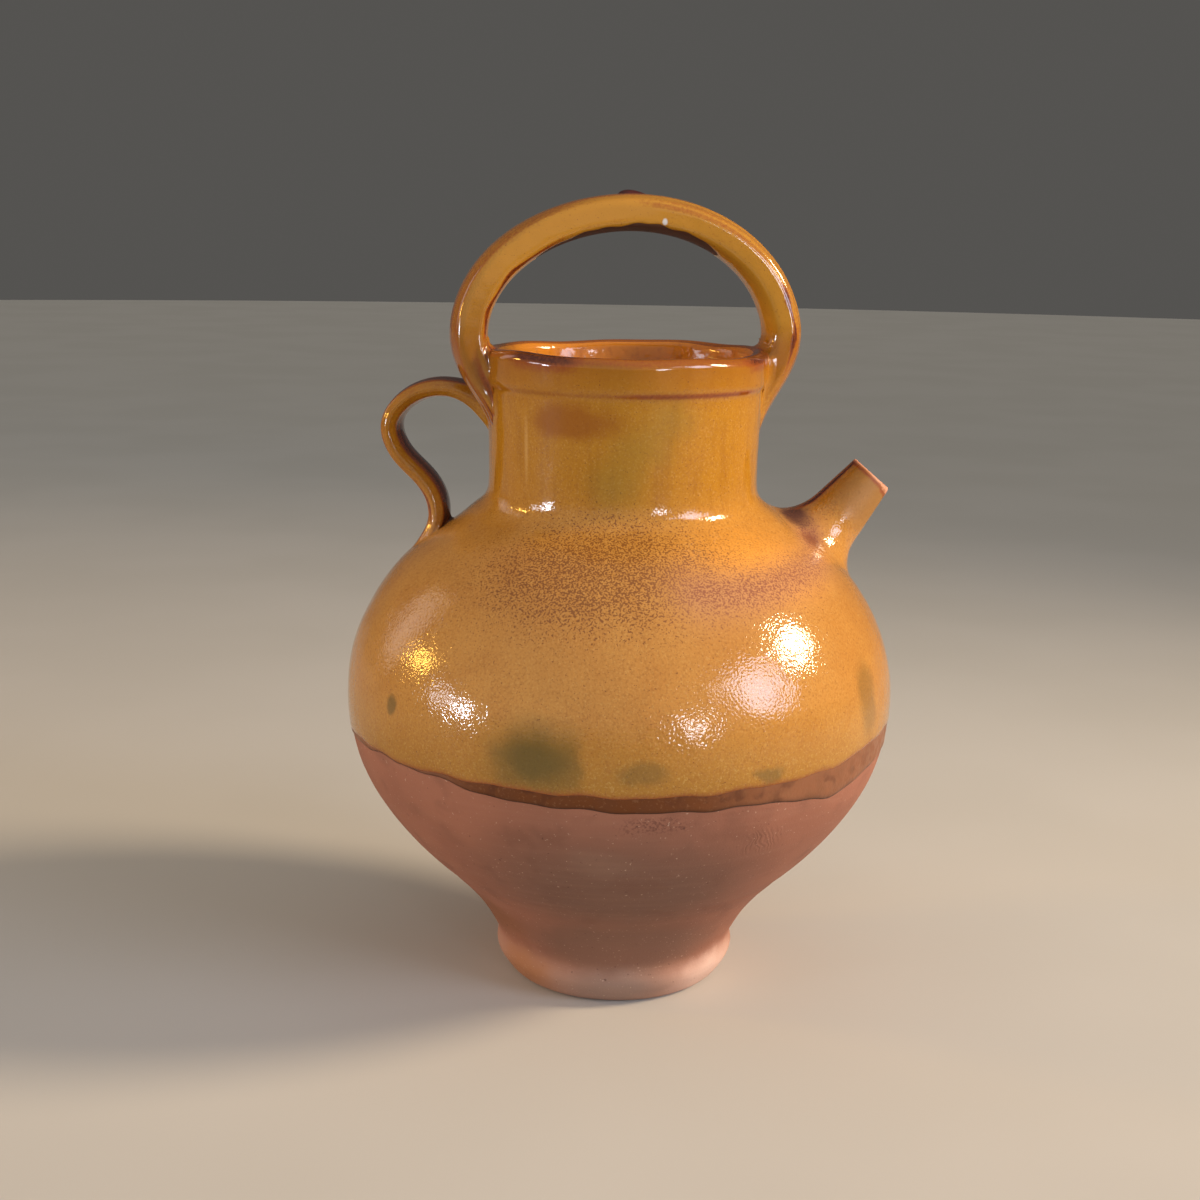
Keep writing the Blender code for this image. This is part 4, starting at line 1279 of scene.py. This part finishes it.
peel = relief(tree, place, RUN_PEEL_SIZE, RUN_PEEL_DEPTH, 1.0)
tree.links.new(peel, shader.inputs["Normal"])
print("clear glaze:", len(tree.nodes), "nodes")

# %% [markdown]
# ## Lining glaze and red drop
# The lining was swilled round inside, thinly, so it is a glossy orange-brown with darker clouds. The
# drop on the stirrup is so thick that hardly any light comes back out of it: dark red and glassy.

# %% Lining glaze
LINING_PEEL_SIZE = 3.0
LINING_PEEL_DEPTH = 0.2

lining_glaze, tree, shader, place, ragged = start_finish("orange_brown_lining_glaze",
                                                         {"IOR": 1.52, "Roughness": 0.14})
colour = paint(tree, linear("#C67A1C"), (
    (grain(tree, ragged, 22.0, 0.35, 0.65, 0.6), "#C67C26"),
    (grain(tree, place, 4.0, 0.5, 0.75, 0.4), "#8A4414"),
))
tree.links.new(colour, shader.inputs["Base Color"])
peel = relief(tree, place, LINING_PEEL_SIZE, LINING_PEEL_DEPTH, 1.0)
tree.links.new(peel, shader.inputs["Normal"])
print("lining glaze:", len(tree.nodes), "nodes")

# %% Red drop
red_drop, tree, shader, place, ragged = start_finish("dark_red_glaze_drop", {"IOR": 1.55, "Roughness": 0.1})
colour = paint(tree, linear("#471410"), ((grain(tree, place, 3.0, 0.4, 0.7, 0.6), "#2C0C0A"),))
tree.links.new(colour, shader.inputs["Base Color"])
print("red drop:", len(tree.nodes), "nodes")

# %% [markdown]
# ## Floor
# A plain pale floor, large enough to reach the horizon, with the faintest unevenness.

# %% Floor
FLOOR_RADIUS = 6.0

floor_finish, tree, shader, place, ragged = start_finish("pale_matt_floor", {"Roughness": 0.75})
floor_colour = paint(tree, linear("#C2BEB7"), ((grain(tree, place, 220.0, 0.35, 0.65, 0.5), "#BBB7AF"),))
tree.links.new(floor_colour, shader.inputs["Base Color"])
bpy.ops.object.select_all(action="DESELECT")
bpy.ops.mesh.primitive_circle_add(vertices=96, radius=FLOOR_RADIUS, fill_type="NGON")
floor = bpy.context.object
floor.name = "floor"
floor.data.materials.append(floor_finish)
print("floor", 2 * FLOOR_RADIUS, "m across")

# %% [markdown]
# ## Light
# A glossy pot is a mirror: each lamp shows as a highlight, so every lamp stands where a highlight of
# the real jug places it. On the right are a warm key, a broad cool lamp and a faint soft one, in front
# a dim one, and on the left two panes, a small amber lamp and a tall sheen. Each row gives azimuth,
# elevation, distance in mm, width in metres, height over width, share of a full white exposure, and
# colour. The lamps stand well back and shine in a cone, because a lamp close to the floor makes a
# bright pool on it, which the glaze would mirror. The surround is a studio whose front is bright and
# whose back is dim, so that the rims of the pot mirror something dark and keep their colour.

# %% Light
AIM = Vector((0.0, 0.0, 150.0))
WHITE_AT_ONE_METRE = 9.87
HALF_SPREAD = math.radians(30)
CONE_SHARE = 1 - HALF_SPREAD / math.tan(HALF_SPREAD)
SURROUND_BRIGHT = (262, 0.92, 0.4)
SURROUND_TURN = (-0.6, 0.9)
SURROUND_GLOW = (0.09, 0.57)
LAMPS = (("key", 348, 28, 2000, 0.49, 1, 1.42, "#FFE4C0"),
         ("broad_right", 321.5, 18, 2300, 1.02, 1, 0.66, "#DFE8FF"),
         ("soft_right", 303, 24, 3000, 0.4, 1, 0.03, "#F2F4FF"),
         ("dim_front", 291, 4, 3200, 0.56, 1, 0.17, "#F2F4FF"),
         ("left_window", 195, 2, 3200, 0.42, 1, 0.3, "#F0F4FF"),
         ("left_pane", 184, 6, 3200, 0.5, 1, 0.07, "#F4F6FF"),
         ("left_lamp", 166, 15, 2800, 0.4, 1, 0.25, "#FFC058"),
         ("left_sheen", 147, 19, 3000, 0.85, 2.2, 0.08, "#FFEDE6"))
for name, turn, elevation, distance, size, tall, share, hex_colour in LAMPS:
    lift = math.radians(elevation)
    spot = polar(turn, distance * math.cos(lift), distance * math.sin(lift)) * MM
    data = bpy.data.lights.new(name, "AREA")
    data.shape = "ELLIPSE"
    data.size = size
    data.size_y = size * tall
    data.spread = 2 * HALF_SPREAD
    data.energy = WHITE_AT_ONE_METRE * share * (distance * MM) ** 2 * CONE_SHARE
    data.color = linear(hex_colour)[:3]
    lamp = bpy.data.objects.new(name, data)
    lamp.location = spot + AIM * MM
    lamp.rotation_euler = (-spot).to_track_quat("-Z", "Y").to_euler()
    bpy.context.scene.collection.objects.link(lamp)
world = bpy.data.worlds.new("grey_studio")
bpy.context.scene.world = world
world.use_nodes = True
tree = world.node_tree
direction = add_node(tree, "TexCoord", {}, output="Generated")
towards = add_node(tree, "VectorMath", {0: direction, 1: polar(*SURROUND_BRIGHT)}, operation="DOT_PRODUCT",
                   output="Value")
glow = add_node(tree, "MapRange", {"Value": towards, "From Min": SURROUND_TURN[0],
                                   "From Max": SURROUND_TURN[1], "To Min": SURROUND_GLOW[0],
                                   "To Max": SURROUND_GLOW[1]}, interpolation_type="SMOOTHSTEP")
tree.nodes["Background"].inputs["Color"].default_value = linear("#FFFBF4")
tree.links.new(glow, tree.nodes["Background"].inputs["Strength"])
bpy.context.scene.view_settings.view_transform = "Standard"
print("lamps:", len(LAMPS))

# %% [markdown]
# ## Hand over
# Each piece gets its finish, hides the solid parts that it stands for, and rides on the one rigid body.

# %% Hand over
FINISHES = {"bare_terracotta": clay, "honey_glaze": honey, "clear_glaze_on_red_clay": brown_run,
            "brown_lining_glaze": lining_glaze, "red_brown_glaze_drip": red_drop}
PIECES = ((body, "bare_terracotta", ("thrown_body",)),
          (coat, "honey_glaze", ("outer_glaze",)),
          (run, "clear_glaze_on_red_clay", ("glaze_run_band",)),
          (lining, "brown_lining_glaze", ("inner_glaze",)),
          (stirrup, "honey_glaze", ("stirrup_handle", "stirrup_luting_spout_side",
                                    "stirrup_luting_handle_side")),
          (side_handle, "honey_glaze", ("side_handle", "side_handle_luting_upper",
                                        "side_handle_luting_lower")),
          (spout, "honey_glaze", ("spout", "spout_luting")),
          (drip, "red_brown_glaze_drip", ("glaze_drip",)))
for piece, slot, nodes in PIECES:
    piece.data.materials.clear()
    piece.data.materials.append(FINISHES[slot])
    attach(piece, "root")
    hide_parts(*nodes)
